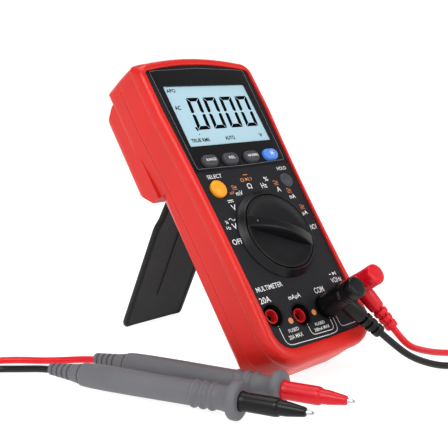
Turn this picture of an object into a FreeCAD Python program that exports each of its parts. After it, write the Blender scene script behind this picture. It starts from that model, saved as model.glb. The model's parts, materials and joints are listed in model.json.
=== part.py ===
import FreeCAD, Part
import math
import os
from FreeCAD import Placement, Rotation, Vector

# A hand-held digital multimeter on its folding stand, with its pair of test leads.
#
# The meter is drawn in its own frame: x across the face, y up the face, z out of the face
# panel, with the origin at the middle of the line through the jacks' foot. "Lean" then turns it
# back from the vertical and lifts it until its lower rear edge stands on the floor, z = 0.
# The leads and the probes lie on the floor and are drawn in the floor's frame.

DOC = FreeCAD.newDocument("multimeter")
SHEET = DOC.addObject("Spreadsheet::Sheet", "Dims")

DIMENSIONS = {
    # how the meter stands
    "lean_angle": 36.5, "bench_y": -72.15,
    # case
    "case_half_foot": 41.0, "case_half_waist": 40.3, "case_half_head": 44.0,
    "case_foot": 11.5, "case_shoulder": 140.0, "case_top": 178.5, "case_corner": 19.5,
    "head_corner": 4.5, "rim_top": 1.4, "parting": 20.0, "case_back": 34.0,
    "back_edge_round": 5.0, "wall": 2.4, "side_round": 6.0, "handle_half": 42.0,
    "handle_round": 14.0, "bump_half": 43.2, "bump_back": 45.2, "bump_low": 104.0, "bump_shelf": 116.0,
    "bump_high": 168.0, "bump_slot_half": 25.2,
    # face panel and the deck it lies on
    "panel_half_foot": 34.8, "panel_half_waist": 36.0, "panel_half_head": 39.6,
    "panel_foot": 2.5, "panel_top": 174.0, "deck_top": 2.2, "deck_low": 4.6,
    # display
    "bezel_half": 36.0, "bezel_low": 102.4, "bezel_high": 170.2, "bezel_proud": 0.4,
    "lcd_half": 31.5, "lcd_low": 118.5, "lcd_high": 158.5, "glass_thick": 2.6,
    # buttons
    "oval_long": 11.4, "oval_wide": 7.4, "oval_row": 108.4, "oval_inner": 8.2,
    "oval_outer": 23.7, "oval_top": 3.0, "round_row": 91.3, "select_x": 26.2,
    "select_radius": 5.2, "hold_x": 28.4, "hold_radius": 4.8, "button_gap": 0.2,
    "button_travel": 1.3, "flange_thick": 0.8, "flange_rim": 1.0,
    # rotary switch
    "knob_y": 60.0, "skirt_radius": 26.5, "skirt_top_radius": 23.2, "skirt_top": 5.6,
    "grip_top": 9.8, "grip_half": 4.0, "dial_top": 4.4, "hub_radius": 8.0,
    "hub_clearance": 0.06, "rotor_radius": 19.0, "rotor_top": 6.2, "rotor_low": 9.6, "pointer_angle": 155.0,
    # jacks
    "jack_inner_x": 9.5, "jack_outer_x": 28.5, "jack_inner_y": 13.2, "jack_outer_y": 17.0,
    "well_radius": 6.2, "well_depth": 22.0, "sleeve_radius": 4.0, "sleeve_top": 1.2,
    "contact_radius": 2.9, "contact_top": 4.5, "contact_low": 21.0, "bore_radius": 2.05,
    # circuit board and what is on it
    "board_top": 11.2, "board_thick": 1.6, "board_half": 34.5, "board_low": 29.0,
    "board_high": 166.0,
    # battery compartment
    "cell_radius": 5.2, "cell_length": 44.5, "cell_y": 39.5, "cell_pitch": 10.8,
    "cell_depth": 22.5, "cover_half": 27.0, "cover_low": 30.0, "cover_high": 70.0,
    # stand
    "hinge_y": 115.0, "hinge_depth": 38.5, "pin_radius": 1.5, "pin_clearance": 0.06,
    "stand_half": 23.5, "stand_neck_half": 20.5, "stand_thick": 4.4, "stand_neck": 22.0,
    "stand_open": 26.8,
    # test leads
    "lead_diameter": 3.8, "coil_radius": 22.0, "plug_radius": 6.2, "plug_top": 27.5,
    "shroud_radius": 5.7, "shroud_wall": 1.5, "shroud_depth": 15.0, "boot_axis": 12.5,
    "boot_length": 30.0, "pin_r": 1.98,
    # probes
    "handle_radius": 6.6, "handle_length": 88.0, "flange_radius": 9.6, "barrel_radius": 4.7,
    "barrel_length": 22.0, "cone_length": 15.0, "probe_pin_radius": 1.0,
    "probe_pin_length": 4.0, "probe_boot": 21.0,
}


def alias_cell(index):
    """The sheet's cell for the nth dimension: names down column A, numbers down column B."""
    return f"A{index + 1}", f"B{index + 1}"


for number, (alias, value) in enumerate(DIMENSIONS.items()):
    name_cell, value_cell = alias_cell(number)
    SHEET.set(name_cell, alias)
    SHEET.set(value_cell, str(value))
    SHEET.setAlias(value_cell, alias)
DOC.recompute()


def dim(alias):
    """A driving dimension, read back from the sheet."""
    return float(SHEET.get(alias))


# ---------------------------------------------------------------- the meter's place

def meter_placement():
    """Leans the meter's frame back and sets its lower rear edge on the floor."""
    lean = math.radians(dim("lean_angle"))
    edge_y = -dim("case_foot") + dim("back_edge_round")
    edge_z = -dim("case_back") + dim("back_edge_round")
    lowest = edge_y * math.cos(lean) + edge_z * math.sin(lean) - dim("back_edge_round")
    return Placement(Vector(0, dim("bench_y"), -lowest),
                     Rotation(Vector(1, 0, 0), 90 - dim("lean_angle")))


METER = meter_placement()
FLOOR = Placement()
PIECES = []


def keep(obj, label, placement):
    """Names a finished piece and puts it in its place."""
    if obj.ExpressionEngine:
        obj = group(obj)
    obj.Label = label
    obj.Placement = placement
    PIECES.append(obj)
    return obj


# ---------------------------------------------------------------- building blocks

def bind(obj, **expressions):
    """Binds properties to the sheet; double underscores stand for dots."""
    for path, expression in expressions.items():
        obj.setExpression(path.replace("__", "."), expression)
    return obj


def dims(expression):
    """Lets an expression name an alias as [alias]."""
    return expression.replace("[", "Dims.").replace("]", "")


def block(x, y, z, length, width, height):
    """A box by its low corner and its sides, all as expressions."""
    obj = DOC.addObject("Part::Box", "block")
    return bind(obj, Length=dims(length), Width=dims(width), Height=dims(height),
                Placement__Base__x=dims(x), Placement__Base__y=dims(y),
                Placement__Base__z=dims(z))


def slab(half, y_low, y_high, z_low, z_high):
    """A box across the middle of the face, by its half width and its y and z limits."""
    return block(f"-({half})", y_low, z_low, f"2 * ({half})",
                 f"({y_high}) - ({y_low})", f"({z_high}) - ({z_low})")


def rod(x, y, z_low, z_high, radius):
    """A cylinder along z."""
    obj = DOC.addObject("Part::Cylinder", "rod")
    return bind(obj, Radius=dims(radius), Height=dims(f"({z_high}) - ({z_low})"),
                Placement__Base__x=dims(x), Placement__Base__y=dims(y),
                Placement__Base__z=dims(z_low))


def taper(x, y, z_low, z_high, low_radius, high_radius):
    """A cone along z."""
    obj = DOC.addObject("Part::Cone", "taper")
    return bind(obj, Radius1=dims(low_radius), Radius2=dims(high_radius),
                Height=dims(f"({z_high}) - ({z_low})"), Placement__Base__x=dims(x),
                Placement__Base__y=dims(y), Placement__Base__z=dims(z_low))


def cross_rod(y, z, half, radius):
    """A cylinder along x, centred on x = 0."""
    obj = DOC.addObject("Part::Cylinder", "cross_rod")
    obj.Placement = Placement(Vector(), Rotation(Vector(0, 1, 0), 90))
    return bind(obj, Radius=dims(radius), Height=dims(f"2 * ({half})"),
                Placement__Base__x=dims(f"-({half})"), Placement__Base__y=dims(y),
                Placement__Base__z=dims(z))


def fuse(*objects):
    joined = DOC.addObject("Part::MultiFuse", "fuse")
    joined.Shapes = list(objects)
    return joined


def cut(base, *tools):
    left = DOC.addObject("Part::Cut", "cut")
    left.Base = base
    left.Tool = tools[0] if len(tools) == 1 else fuse(*tools)
    return left


def meet(*objects):
    shared = DOC.addObject("Part::MultiCommon", "common")
    shared.Shapes = list(objects)
    return shared


def group(*objects):
    """Separate solids of one kind that share a node."""
    together = DOC.addObject("Part::Compound", "group")
    together.Links = list(objects)
    return together


def solid(shape, name="solid"):
    """A piece whose shape comes from Part's own functions."""
    obj = DOC.addObject("Part::Feature", name)
    obj.Shape = shape
    return obj


def oval(x, y, z_low, z_high, grow="0"):
    """A stadium across the face: the buttons, their flanges and their holes."""
    radius = f"[oval_wide] / 2 + {grow}"
    reach = "([oval_long] - [oval_wide]) / 2"
    middle = block(f"{x} - {reach}", f"{y} - ({radius})", z_low, f"2 * ({reach})",
                   f"2 * ({radius})", f"({z_high}) - ({z_low})")
    return fuse(rod(f"{x} - {reach}", y, z_low, z_high, radius), middle,
                rod(f"{x} + {reach}", y, z_low, z_high, radius))


def side_arc(low, middle, high):
    return Part.Arc(Vector(*low, 0), Vector(*middle, 0), Vector(*high, 0)).toShape()


def corner_arc(centre_x, centre_y, radius, start, end):
    """An arc about a centre, between two angles in degrees."""
    def at(angle):
        turn = math.radians(angle)
        return (centre_x + radius * math.cos(turn), centre_y + radius * math.sin(turn))
    return side_arc(at(start), at((start + end) / 2), at(end))


def mirrored(edges):
    """The edges again on the other side of x = 0."""
    return [e.mirror(Vector(), Vector(1, 0, 0)) for e in edges]


def case_outline(inset=0.0):
    """The case seen from the front: full foot corners, a slight waist and a wider head."""
    foot, waist, head = (dim(f"case_half_{k}") - inset for k in ("foot", "waist", "head"))
    low, top = -dim("case_foot") + inset, dim("case_top") - inset
    round_low = dim("case_corner") - inset
    round_high = max(dim("head_corner") - inset, 2.0)
    shoulder, crown = dim("case_shoulder"), top - 1.8
    right = [
        corner_arc(foot - round_low, low + round_low, round_low, -90, 0),
        side_arc((foot, low + round_low), (waist, 66.0), (head, shoulder)),
        Part.LineSegment(Vector(head, shoulder, 0),
                         Vector(head, crown - round_high, 0)).toShape(),
        corner_arc(head - round_high, crown - round_high, round_high, 0, 90),
    ]
    flat = foot - round_low
    bottom = Part.LineSegment(Vector(-flat, low, 0), Vector(flat, low, 0)).toShape()
    reach = head - round_high
    crown_arc = side_arc((reach, crown), (0, top), (-reach, crown))
    return Part.Wire(Part.__sortEdges__([bottom, crown_arc, *right, *mirrored(right)]))


def panel_outline(inset=0.0):
    """The dark face panel: arched top, rounded foot, waist at the rotary switch."""
    foot, waist, head = (dim(f"panel_half_{k}") - inset for k in ("foot", "waist", "head"))
    low, top = -dim("panel_foot") + inset, dim("panel_top") - inset
    round_low, round_high = 11.0 - inset, 3.0
    crown = top - 3.8
    right = [
        corner_arc(foot - round_low, low + round_low, round_low, -90, 0),
        side_arc((foot, low + round_low), (waist, 66.0), (head, 142.0)),
        Part.LineSegment(Vector(head, 142.0, 0), Vector(head, crown - round_high, 0)).toShape(),
        corner_arc(head - round_high, crown - round_high, round_high, 0, 90),
    ]
    flat = foot - round_low
    bottom = side_arc((-flat, low), (0, low - 0.6), (flat, low))
    reach = head - round_high
    crown_arc = side_arc((reach, crown), (0, top), (-reach, crown))
    return Part.Wire(Part.__sortEdges__([bottom, crown_arc, *right, *mirrored(right)]))


def prism(wire, z_low, z_high, name="prism"):
    """A flat outline made into a plate between two heights."""
    face = Part.Face(wire)
    face.translate(Vector(0, 0, z_low))
    return solid(face.extrude(Vector(0, 0, z_high - z_low)), name)


def prism_across(points, half, name="profile"):
    """A side profile, as (y, z) points, made as wide as 2 * half."""
    corners = [Vector(-half, y, z) for y, z in points]
    face = Part.Face(Part.makePolygon(corners + corners[:1]))
    return solid(face.extrude(Vector(2 * half, 0, 0)), name)


# ---------------------------------------------------------------- places used by many pieces

OVALS = {"range": ("-[oval_outer]", "[oval_row]"), "rel": ("-[oval_inner]", "[oval_row]"),
         "max_min": ("[oval_inner]", "[oval_row]"), "light": ("[oval_outer]", "[oval_row]")}
ROUNDS = {"select": ("-[select_x]", "[round_row]", "[select_radius]"),
          "hold": ("[hold_x]", "[round_row]", "[hold_radius]")}
JACKS = {"20a": ("-[jack_outer_x]", "[jack_outer_y]"), "ma": ("-[jack_inner_x]", "[jack_inner_y]"),
         "com": ("[jack_inner_x]", "[jack_inner_y]"), "volt": ("[jack_outer_x]", "[jack_outer_y]")}
FRONT_BOSSES = [(-24.0, -3.0), (24.0, -3.0), (-37.0, 126.0), (37.0, 126.0)]
BOSS_RADIUS, SCREW_RADIUS, HEAD_RADIUS = 3.1, 1.3, 2.6


def button_holes(z_low, z_high):
    """Tools that open a plate for the six buttons."""
    ovals = [oval(x, y, z_low, z_high, "[button_gap]") for x, y in OVALS.values()]
    rounds = [rod(x, y, z_low, z_high, f"{r} + [button_gap]") for x, y, r in ROUNDS.values()]
    return ovals, rounds


def jack_holes(z_low, z_high, radius):
    return [rod(x, y, z_low, z_high, radius) for x, y in JACKS.values()]


# ---------------------------------------------------------------- case

def front_housing():
    """The red front shell: a rounded rim round the recessed face, and a deck behind it."""
    rim = prism(case_outline(), -dim("parting"), dim("rim_top"))
    top_edges = [e for e in rim.Shape.Edges if e.BoundBox.ZMin > dim("rim_top") - 0.01]
    rim.Shape = rim.Shape.makeFillet(3.6, top_edges)
    recess = prism(panel_outline(-0.15), -dim("deck_top"), 5.0)
    cavity = prism(case_outline(dim("wall")), -dim("parting") - 1.0, -dim("deck_low"))
    shell = cut(rim, recess, cavity)
    window = slab("[lcd_half] + 0.4", "[lcd_low] - 2.2", "[lcd_high] + 2.2", "-8", "2")
    ovals, rounds = button_holes("-8", "2")
    hub = rod("0", "[knob_y]", "-8", "2", "[hub_radius] + [hub_clearance]")
    wells = jack_holes("-8", "2", "[well_radius]")
    opened = cut(shell, window, hub, *ovals, *rounds, *wells)
    bosses = [rod(str(x), str(y), "-[parting]", "-[deck_low]", str(BOSS_RADIUS))
              for x, y in FRONT_BOSSES]
    pilots = [rod(str(x), str(y), "-[parting] - 1", "-[deck_low] - 3", str(SCREW_RADIUS))
              for x, y in FRONT_BOSSES]
    return keep(cut(fuse(opened, *bosses), *pilots), "front_housing", METER)


def back_profile(inset):
    """The rear shell's side outline, below the bump, with its lower edge rounded."""
    foot, back = -dim("case_foot") + inset, -dim("case_back") + inset
    radius = max(dim("back_edge_round") - inset, 0.6)
    steps = [math.radians(a) for a in range(180, 271, 15)]
    edge = [(foot + radius + radius * math.cos(a), back + radius + radius * math.sin(a))
            for a in steps]
    top = dim("case_top") + 1.0
    return [(foot, -dim("parting")), *edge, (top, back), (top, -dim("parting"))]


def cross_profile(half, back, radius, y_low, y_high, name):
    """A trough seen end on: flat back and two rounded lower corners, made along y."""
    steps = [math.radians(a) for a in range(180, 271, 10)]
    left = [Vector(-half + radius + radius * math.cos(a), y_low,
                   back + radius + radius * math.sin(a)) for a in steps]
    right = [Vector(-p.x, p.y, p.z) for p in reversed(left)]
    high = [Vector(half, y_low, 10.0), Vector(-half, y_low, 10.0)]
    face = Part.Face(Part.makePolygon([*left, *right, *high, left[0]]))
    return solid(face.extrude(Vector(0, y_high - y_low, 0)), name)


def side_trough(inset, name):
    """The shell's sides: full and round along the handle, squarer at the head."""
    back, step = -dim("case_back") + inset, dim("bump_low") + inset
    handle = cross_profile(dim("handle_half") - inset, back, dim("handle_round") - inset,
                           -20.0, step, name + "_handle")
    head = cross_profile(dim("case_half_head") - inset, back, dim("side_round") - inset,
                         step, 190.0, name + "_head")
    return fuse(handle, head)


def bump_profile(inset):
    """The thicker head's side outline: a slope, the stand's shelf, a flat back, a top slope."""
    back = -dim("bump_back") + inset
    low, shelf, high = dim("bump_low") + inset, dim("bump_shelf") + inset, dim("bump_high") - inset
    base = -dim("case_back") + 6.0
    return [(low, base), (low, -dim("case_back") + inset), (shelf, back + 1.0), (shelf + 4.0, back),
            (high - 8.0, back - 0.5 if inset == 0 else back), (high - 4.5, back + 4.0),
            (high, -dim("case_back") + 1.0), (high, base)]


def rear_housing():
    """The red rear shell with the deep head that carries the stand's hinge."""
    reach = dim("case_half_head") + 1.0
    low_shell = meet(prism(case_outline(), -60.0, -dim("parting")),
                     prism_across(back_profile(0.0), reach), side_trough(0.0, "trough"))
    bump = meet(prism_across(bump_profile(0.0), reach),
                cross_profile(dim("bump_half"), -dim("bump_back") - 0.5, 7.0, 90.0, 190.0,
                              "bump_trough"))
    outside = fuse(low_shell, bump)
    wall = dim("wall")
    low_room = meet(prism(case_outline(wall), -60.0, -dim("parting") + 1.0),
                    prism_across([(-dim("case_foot") + wall, -dim("parting") + 1.0),
                                  (-dim("case_foot") + wall, -dim("case_back") + 5.0),
                                  (-dim("case_foot") + 6.0, -dim("case_back") + wall),
                                  (dim("case_top"), -dim("case_back") + wall),
                                  (dim("case_top"), -dim("parting") + 1.0)], reach),
                    side_trough(wall, "inner_trough"))
    head_room = slab("[bump_half] - 4.0", "[bump_shelf] + 14.0", "[bump_high] - 11.0",
                     "-[bump_back] + [wall]", "-[parting]")
    hollow = cut(outside, low_room, head_room)
    posts = [rod(str(x), str(y), "-[case_back] + 1.0", "-[parting]", "4.4")
             for x, y in FRONT_BOSSES]
    shell = fuse(hollow, *posts)
    wells = [rod(str(x), str(y), "-60", "-24", "3.0") for x, y in FRONT_BOSSES]
    shanks = [rod(str(x), str(y), "-60", "-10", "1.6") for x, y in FRONT_BOSSES]
    slot = slab("[bump_slot_half]", "90", "[hinge_y] + 6.0", "-60", "-[case_back]")
    pin_hole = cross_rod("[hinge_y]", "-[hinge_depth]", "31.0", "[pin_radius]")
    door = slab("[cover_half] + 0.15", "[cover_low] - 0.15", "[cover_high] + 0.15", "-60",
                "-[case_back] + [wall] + 0.1")
    cover_boss = rod("0", "76.0", "-[case_back] + 1.0", "-26.5", "3.6")
    cover_well = rod("0", "76.0", "-[case_back] - 1.0", "-28.0", "1.2")
    body = cut(shell, *wells, *shanks, slot, pin_hole, door)
    return keep(cut(fuse(body, cover_boss), cover_well), "rear_housing", METER)


def case_screws():
    """Four screws from the back, through the rear shell into the front shell's bosses."""
    screws = []
    for x, y in FRONT_BOSSES:
        head = rod(str(x), str(y), "-26.4", "-24.0", str(HEAD_RADIUS))
        shank = rod(str(x), str(y), "-24.0", "-12.0", str(SCREW_RADIUS - 0.02))
        screws.append(fuse(head, shank))
    return keep(group(*screws), "case_screws", METER)


# ---------------------------------------------------------------- face

def face_panel():
    """The dark panel that carries the marks, opened for the display, switch and jacks."""
    sheet = prism(panel_outline(), -dim("deck_top"), 0.0)
    bezel_seat = slab("[bezel_half] + 0.1", "[bezel_low] - 0.1", "[bezel_high] + 0.1", "-5", "5")
    hub = rod("0", "[knob_y]", "-5", "5", "[hub_radius] + 1.0")
    rounds = [rod(x, y, "-5", "5", f"{r} + [button_gap]") for x, y, r in ROUNDS.values()]
    wells = jack_holes("-5", "5", "[well_radius]")
    return keep(cut(sheet, bezel_seat, hub, *rounds, *wells), "face_panel", METER)


def display_bezel():
    """The glossy insert round the display, with the four oval keys' holes."""
    plate = slab("[bezel_half]", "[bezel_low]", "[bezel_high]", "-[deck_top]", "[bezel_proud]")
    window = slab("[lcd_half]", "[lcd_low]", "[lcd_high]", "-5", "5")
    ovals, _ = button_holes("-5", "5")
    return keep(cut(plate, window, *ovals), "display_bezel", METER)


def display_stack():
    """Lens, liquid crystal cell, its light and the rubber contact strips below it."""
    lens = slab("[lcd_half] - 0.05", "[lcd_low] + 0.05", "[lcd_high] - 0.05", "-2.2", "-0.3")
    keep(lens, "lcd_lens", METER)
    cell = slab("[lcd_half]", "[lcd_low] - 1.8", "[lcd_high] + 1.8",
                "-2.3 - [glass_thick]", "-2.3")
    keep(cell, "lcd_cell", METER)
    light = slab("[lcd_half] - 0.5", "[lcd_low] + 1.5", "[lcd_high] - 1.5", "-8.2", "-4.9")
    keep(light, "backlight", METER)
    strips = [slab("[lcd_half] - 1.5", y, f"{y} + 2.0", "-[board_top]", "-4.9")
              for y in ("[lcd_low] - 1.4", "[lcd_high] - 0.6")]
    keep(group(*strips), "contact_strips", METER)


def oval_key(name, x, y):
    """One oval key with the flange that holds it under the deck."""
    post = oval(x, y, "-[deck_low] - 0.4", "[oval_top]")
    flange = oval(x, y, "-[deck_low] - 0.4 - [flange_thick]", "-[deck_low] - 0.4", "[flange_rim]")
    return keep(fuse(post, flange), f"key_{name}", METER)


def round_key(name, x, y, radius, top):
    """A round key with a crowned top, cut from a ball that just reaches its edge."""
    crown, edge = 1.6, 0.15
    ball_radius = (dim(radius[1:-1]) ** 2 + crown ** 2) / (2 * crown)
    post = rod(x, y, "-[deck_low] - 0.4", f"{top}", radius)
    ball = DOC.addObject("Part::Sphere", "ball")
    bind(ball, Radius=str(ball_radius + edge), Placement__Base__x=dims(x),
         Placement__Base__y=dims(y), Placement__Base__z=dims(f"{top} - {ball_radius}"))
    low = rod(x, y, "-[deck_low] - 0.4", "-1", radius)
    flange = rod(x, y, "-[deck_low] - 0.4 - [flange_thick]", "-[deck_low] - 0.4",
                 f"{radius} + [flange_rim]")
    return keep(fuse(meet(post, ball), low, flange), f"key_{name}", METER)


def keypad():
    """The silicone sheet under the keys: a base on the board and a dome under each key."""
    dome_top = "-[deck_low] - 0.5 - [flange_thick] - [button_travel]"
    sheet = slab("33.5", "86", "115.5", "-[board_top]", "-[board_top] + 1.0")
    domes = [taper(x, y, "-[board_top] + 1.0", dome_top, "4.4", "3.0") for x, y in OVALS.values()]
    domes += [taper(x, y, "-[board_top] + 1.0", dome_top, "4.4", "3.0")
              for x, y, _ in ROUNDS.values()]
    return keep(fuse(sheet, *domes), "keypad_sheet", METER)


# ---------------------------------------------------------------- rotary switch

def knob():
    """Skirt, shallow dial and a straight grip bar, arched along its length, that points."""
    skirt = taper("0", "0", "0.4", "[skirt_top]", "[skirt_radius]", "[skirt_top_radius]")
    dial = "[skirt_top_radius] - 1.6"
    recess = rod("0", "0", "[dial_top]", "20", dial)
    hub = rod("0", "0", "-[rotor_top] - 2.0", "0.4", "[hub_radius]")
    reach = dim("skirt_top_radius") - 0.4
    rise = dim("grip_top") - dim("skirt_top")
    arch_radius = (reach ** 2 + rise ** 2) / (2 * rise)
    bar = slab(str(reach), "-[grip_half]", "[grip_half]", "[dial_top] - 0.4", "[grip_top] + 2.0")
    arch = cross_cylinder(0.0, dim("grip_top") - arch_radius, 30.0, arch_radius)
    inside = rod("0", "0", "0", "[grip_top] + 2.0", str(reach))
    turned = fuse(cut(skirt, recess), hub, meet(bar, arch, inside))
    turn = Placement(Vector(0, dim("knob_y"), 0),
                     Rotation(Vector(0, 0, 1), dim("pointer_angle") - 180))
    return keep(turned, "knob", METER.multiply(turn))


def cross_cylinder(x, z, half, radius):
    """A cylinder along y, used to arch the grip bar."""
    axis = Vector(0, 1, 0)
    return solid(Part.makeCylinder(radius, 2 * half, Vector(x, -half, z), axis), "arch")


def rotor():
    """The disc under the deck that carries the wiping contacts and the click springs."""
    disc = rod("0", "[knob_y]", "-[rotor_low]", "-[rotor_top]", "[rotor_radius]")
    bore = rod("0", "[knob_y]", "-20", "0", "[hub_radius]")
    pockets = [rod(x, "[knob_y]", "-[rotor_low] + 0.8", "0", "1.35") for x in ("-14", "14")]
    keep(cut(disc, bore, *pockets), "switch_rotor", METER)
    springs, balls = [], []
    for x in ("-14", "14"):
        ring = rod(x, "[knob_y]", "-[rotor_low] + 0.8", "-7.2", "1.25")
        springs.append(cut(ring, rod(x, "[knob_y]", "-20", "0", "0.75")))
        ball = DOC.addObject("Part::Sphere", "ball")
        springs_top, radius = "-7.2", "1.2"
        balls.append(bind(ball, Radius=radius, Placement__Base__x=dims(x),
                          Placement__Base__y=dims("[knob_y]"),
                          Placement__Base__z=dims(f"{springs_top} + {radius}")))
    keep(group(*springs), "click_springs", METER)
    keep(group(*balls), "click_balls", METER)
    wipers = [block(f"-1.2 + {10 + 3 * k}", "[knob_y] - 3.5", "-[rotor_low] - 1.0", "2.0", "7.0",
                    "1.0") for k in range(3)]
    keep(group(*wipers), "wiper_contacts", METER)
    keep(cut(rod("0", "[knob_y]", "-[rotor_top]+0.1", "-[deck_low]-0.1", "17.5"),
             rod("0", "[knob_y]", "-20", "0", "15.6")), "rotor_washer", METER)


# ---------------------------------------------------------------- jacks

def jack_block():
    """The moulded block behind the deck with one deep round well for each jack."""
    body = slab("36.5", "5.5", "25.5", "-25.5", "-[deck_low]")
    wells = jack_holes("-[well_depth]", "0", "[well_radius]")
    tails = jack_holes("-30", "0", "1.6")
    return keep(cut(body, *wells, *tails), "jack_block", METER)


def jack_sleeves():
    """Red insulating sleeves that stand in the wells."""
    tubes = []
    for x, y in JACKS.values():
        outer = rod(x, y, "-[well_depth]", "-[sleeve_top]", "[sleeve_radius]")
        tubes.append(cut(outer, rod(x, y, "-40", "0", "[contact_radius]")))
    return keep(group(*tubes), "jack_sleeves", METER)


def jack_contacts():
    """A brass socket for a 4 mm plug in each sleeve, with a solder tail."""
    for name, (x, y) in JACKS.items():
        outer = rod(x, y, "-[well_depth]", "-[contact_top]", "[contact_radius]")
        bore = rod(x, y, "-[contact_low]", "0", "[bore_radius]")
        tail = rod(x, y, "-27.5", "-[well_depth]", "1.5")
        keep(fuse(cut(outer, bore), tail), f"jack_{name}", METER)


# ---------------------------------------------------------------- electronics and power

def main_board():
    """The circuit board, with a hole for the switch's hub and notches for the front bosses."""
    board = slab("[board_half]", "[board_low]", "[board_high]",
                 "-[board_top] - [board_thick]", "-[board_top]")
    notches = [rod(str(x), str(y), "-20", "0", str(BOSS_RADIUS + 0.6)) for x, y in FRONT_BOSSES]
    hub = rod("0", "[knob_y]", "-20", "0", "3.0")
    return keep(cut(board, hub, *notches), "main_board", METER)


def electronics():
    """Chips under the board, the buzzer disc, two fuses in their clips."""
    low = "-[board_top] - [board_thick]"
    chips = [block("-9", "128", f"{low} - 1.6", "18", "18", "1.6"),
             block("14", "132", f"{low} - 1.2", "9", "7", "1.2"),
             block("-24", "104", f"{low} - 1.4", "8", "11", "1.4")]
    keep(group(*chips), "chips", METER)
    keep(rod("20", "150", f"{low} - 4.0", low, "7.0"), "buzzer", METER)
    fuses, clips = [], []
    for y, radius, half in (("81", 5.0, 19.0), ("95", 3.0, 16.0)):
        axis = f"{low} - 6.6"
        fuses.append(cross_rod(y, axis, str(half), str(radius)))
        for side in (-1, 1):
            x = side * (half - 3.0) - 2.0
            cup = block(str(x), f"{y} - {radius + 0.8}", axis, "4.0", str(2 * radius + 1.6),
                        "6.6")
            clips.append(cut(cup, cross_rod(y, axis, "30", str(radius))))
    keep(group(*fuses), "fuses", METER)
    keep(group(*clips), "fuse_clips", METER)


def battery():
    """Three cells side by side, their spring plates and the screwed cover behind them."""
    cells, plates = [], []
    for k in range(3):
        y = f"[cell_y] + {k} * [cell_pitch]"
        can = cross_rod(y, "-[cell_depth]", "[cell_length] / 2 - 0.8", "[cell_radius]")
        side = 1 if k % 2 else -1
        x = side * (dim("cell_length") / 2 - 0.8)
        nub = solid(Part.makeCylinder(1.9, 0.8, Vector(x, 0, 0), Vector(side, 0, 0)), "nub")
        bind(nub, Placement__Base__y=dims(y), Placement__Base__z=dims("-[cell_depth]"))
        cells.append(fuse(can, nub))
        for end in (-1, 1):
            edge = end * dim("cell_length") / 2
            low = edge if end > 0 else edge - 0.8
            plates.append(block(str(low), f"{y} - 4.2", "-[cell_depth] - 4.2", "0.8", "8.4",
                                "8.4"))
    keep(group(*cells), "battery_cells", METER)
    keep(group(*plates), "battery_plates", METER)
    lid = slab("[cover_half]", "[cover_low]", "[cover_high]", "-[case_back]",
               "-[case_back] + [wall]")
    tab = block("-6", "[cover_high]", "-[case_back] - 1.0", "12", "10.5", "1.0")
    link = block("-6", "[cover_high] - 4.0", "-[case_back] - 1.0", "12", "4.0", "1.0")
    hole = rod("0", "76.0", "-60", "0", "1.5")
    keep(cut(fuse(lid, tab, link), hole), "battery_cover", METER)
    screw = fuse(rod("0", "76.0", "-[case_back] - 2.4", "-[case_back] - 1.0", "2.6"),
                 rod("0", "76.0", "-[case_back] - 1.0", "-28.4", "1.15"))
    keep(screw, "cover_screw", METER)


# ---------------------------------------------------------------- stand

def stand():
    """The folding stand: a neck at the hinge, full width below a shoulder, a groove and a foot."""
    open_turn = Rotation(Vector(1, 0, 0), dim("lean_angle") + dim("stand_open"))
    hinge_height = METER.multVec(Vector(0, dim("hinge_y"), -dim("hinge_depth"))).z
    half_thick = dim("stand_thick") / 2
    length = hinge_height / math.cos(math.radians(dim("stand_open"))) + half_thick
    neck, half = dim("stand_neck_half"), dim("stand_half")
    shoulder, foot_round = dim("stand_neck"), 3.0
    right = [
        Part.Arc(Vector(neck, 0, 0), Vector(neck - 0.6, -shoulder / 2, 0),
                 Vector(neck + 0.6, -shoulder, 0)).toShape(),
        Part.Arc(Vector(neck + 0.6, -shoulder, 0), Vector(neck + 1.4, -shoulder - 4.5, 0),
                 Vector(half, -shoulder - 8.0, 0)).toShape(),
        Part.LineSegment(Vector(half, -shoulder - 8.0, 0),
                         Vector(half, -length + foot_round, 0)).toShape(),
        corner_arc(half - foot_round, -length + foot_round, foot_round, 0, -90),
    ]
    top = Part.LineSegment(Vector(-neck, 0, 0), Vector(neck, 0, 0)).toShape()
    foot = Part.LineSegment(Vector(-half + foot_round, -length, 0),
                            Vector(half - foot_round, -length, 0)).toShape()
    wire = Part.Wire(Part.__sortEdges__([top, foot, *right, *mirrored(right)]))
    plate = prism(wire, -half_thick, half_thick, "stand_plate")
    knuckle = cross_rod("0", "0", "[stand_neck_half]", "3.4")
    groove = block("-5.0", "-82", "[stand_thick] / 2 - 0.9", "10.0", "46.0", "4")
    bore = cross_rod("0", "0", "40", "[pin_radius] + [pin_clearance]")
    leg = cut(fuse(plate, knuckle), groove, bore)
    leg.Placement = METER.multiply(
        Placement(Vector(0, dim("hinge_y"), -dim("hinge_depth")), open_turn))
    below_floor = solid(Part.makeBox(400, 600, 60, Vector(-200, -300, -60)), "below_floor")
    return keep(cut(leg, below_floor), "stand_leg", FLOOR)


def stand_pin():
    """The steel rod through the stand's knuckle, held in both sides of the head."""
    return keep(cross_rod("[hinge_y]", "-[hinge_depth]", "30.5", "[pin_radius]"), "stand_pin",
                METER)


# ---------------------------------------------------------------- test leads

BLACK_BOOT_ANGLE, RED_BOOT_ANGLE = -55.0, -71.0
PROBES = {"black": (Vector(-97.0, 11.0, 6.62), Vector(0.346, -0.938, 0.034)),
          "red": (Vector(-71.0, 7.0, 6.62), Vector(0.330, -0.944, 0.034))}
COILS = {"black": (Vector(-104.0, -153.0, 0), 18.1, 7.3),
         "red": (Vector(86.0, -171.0, 0), 20.1, 7.7)}

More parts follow.
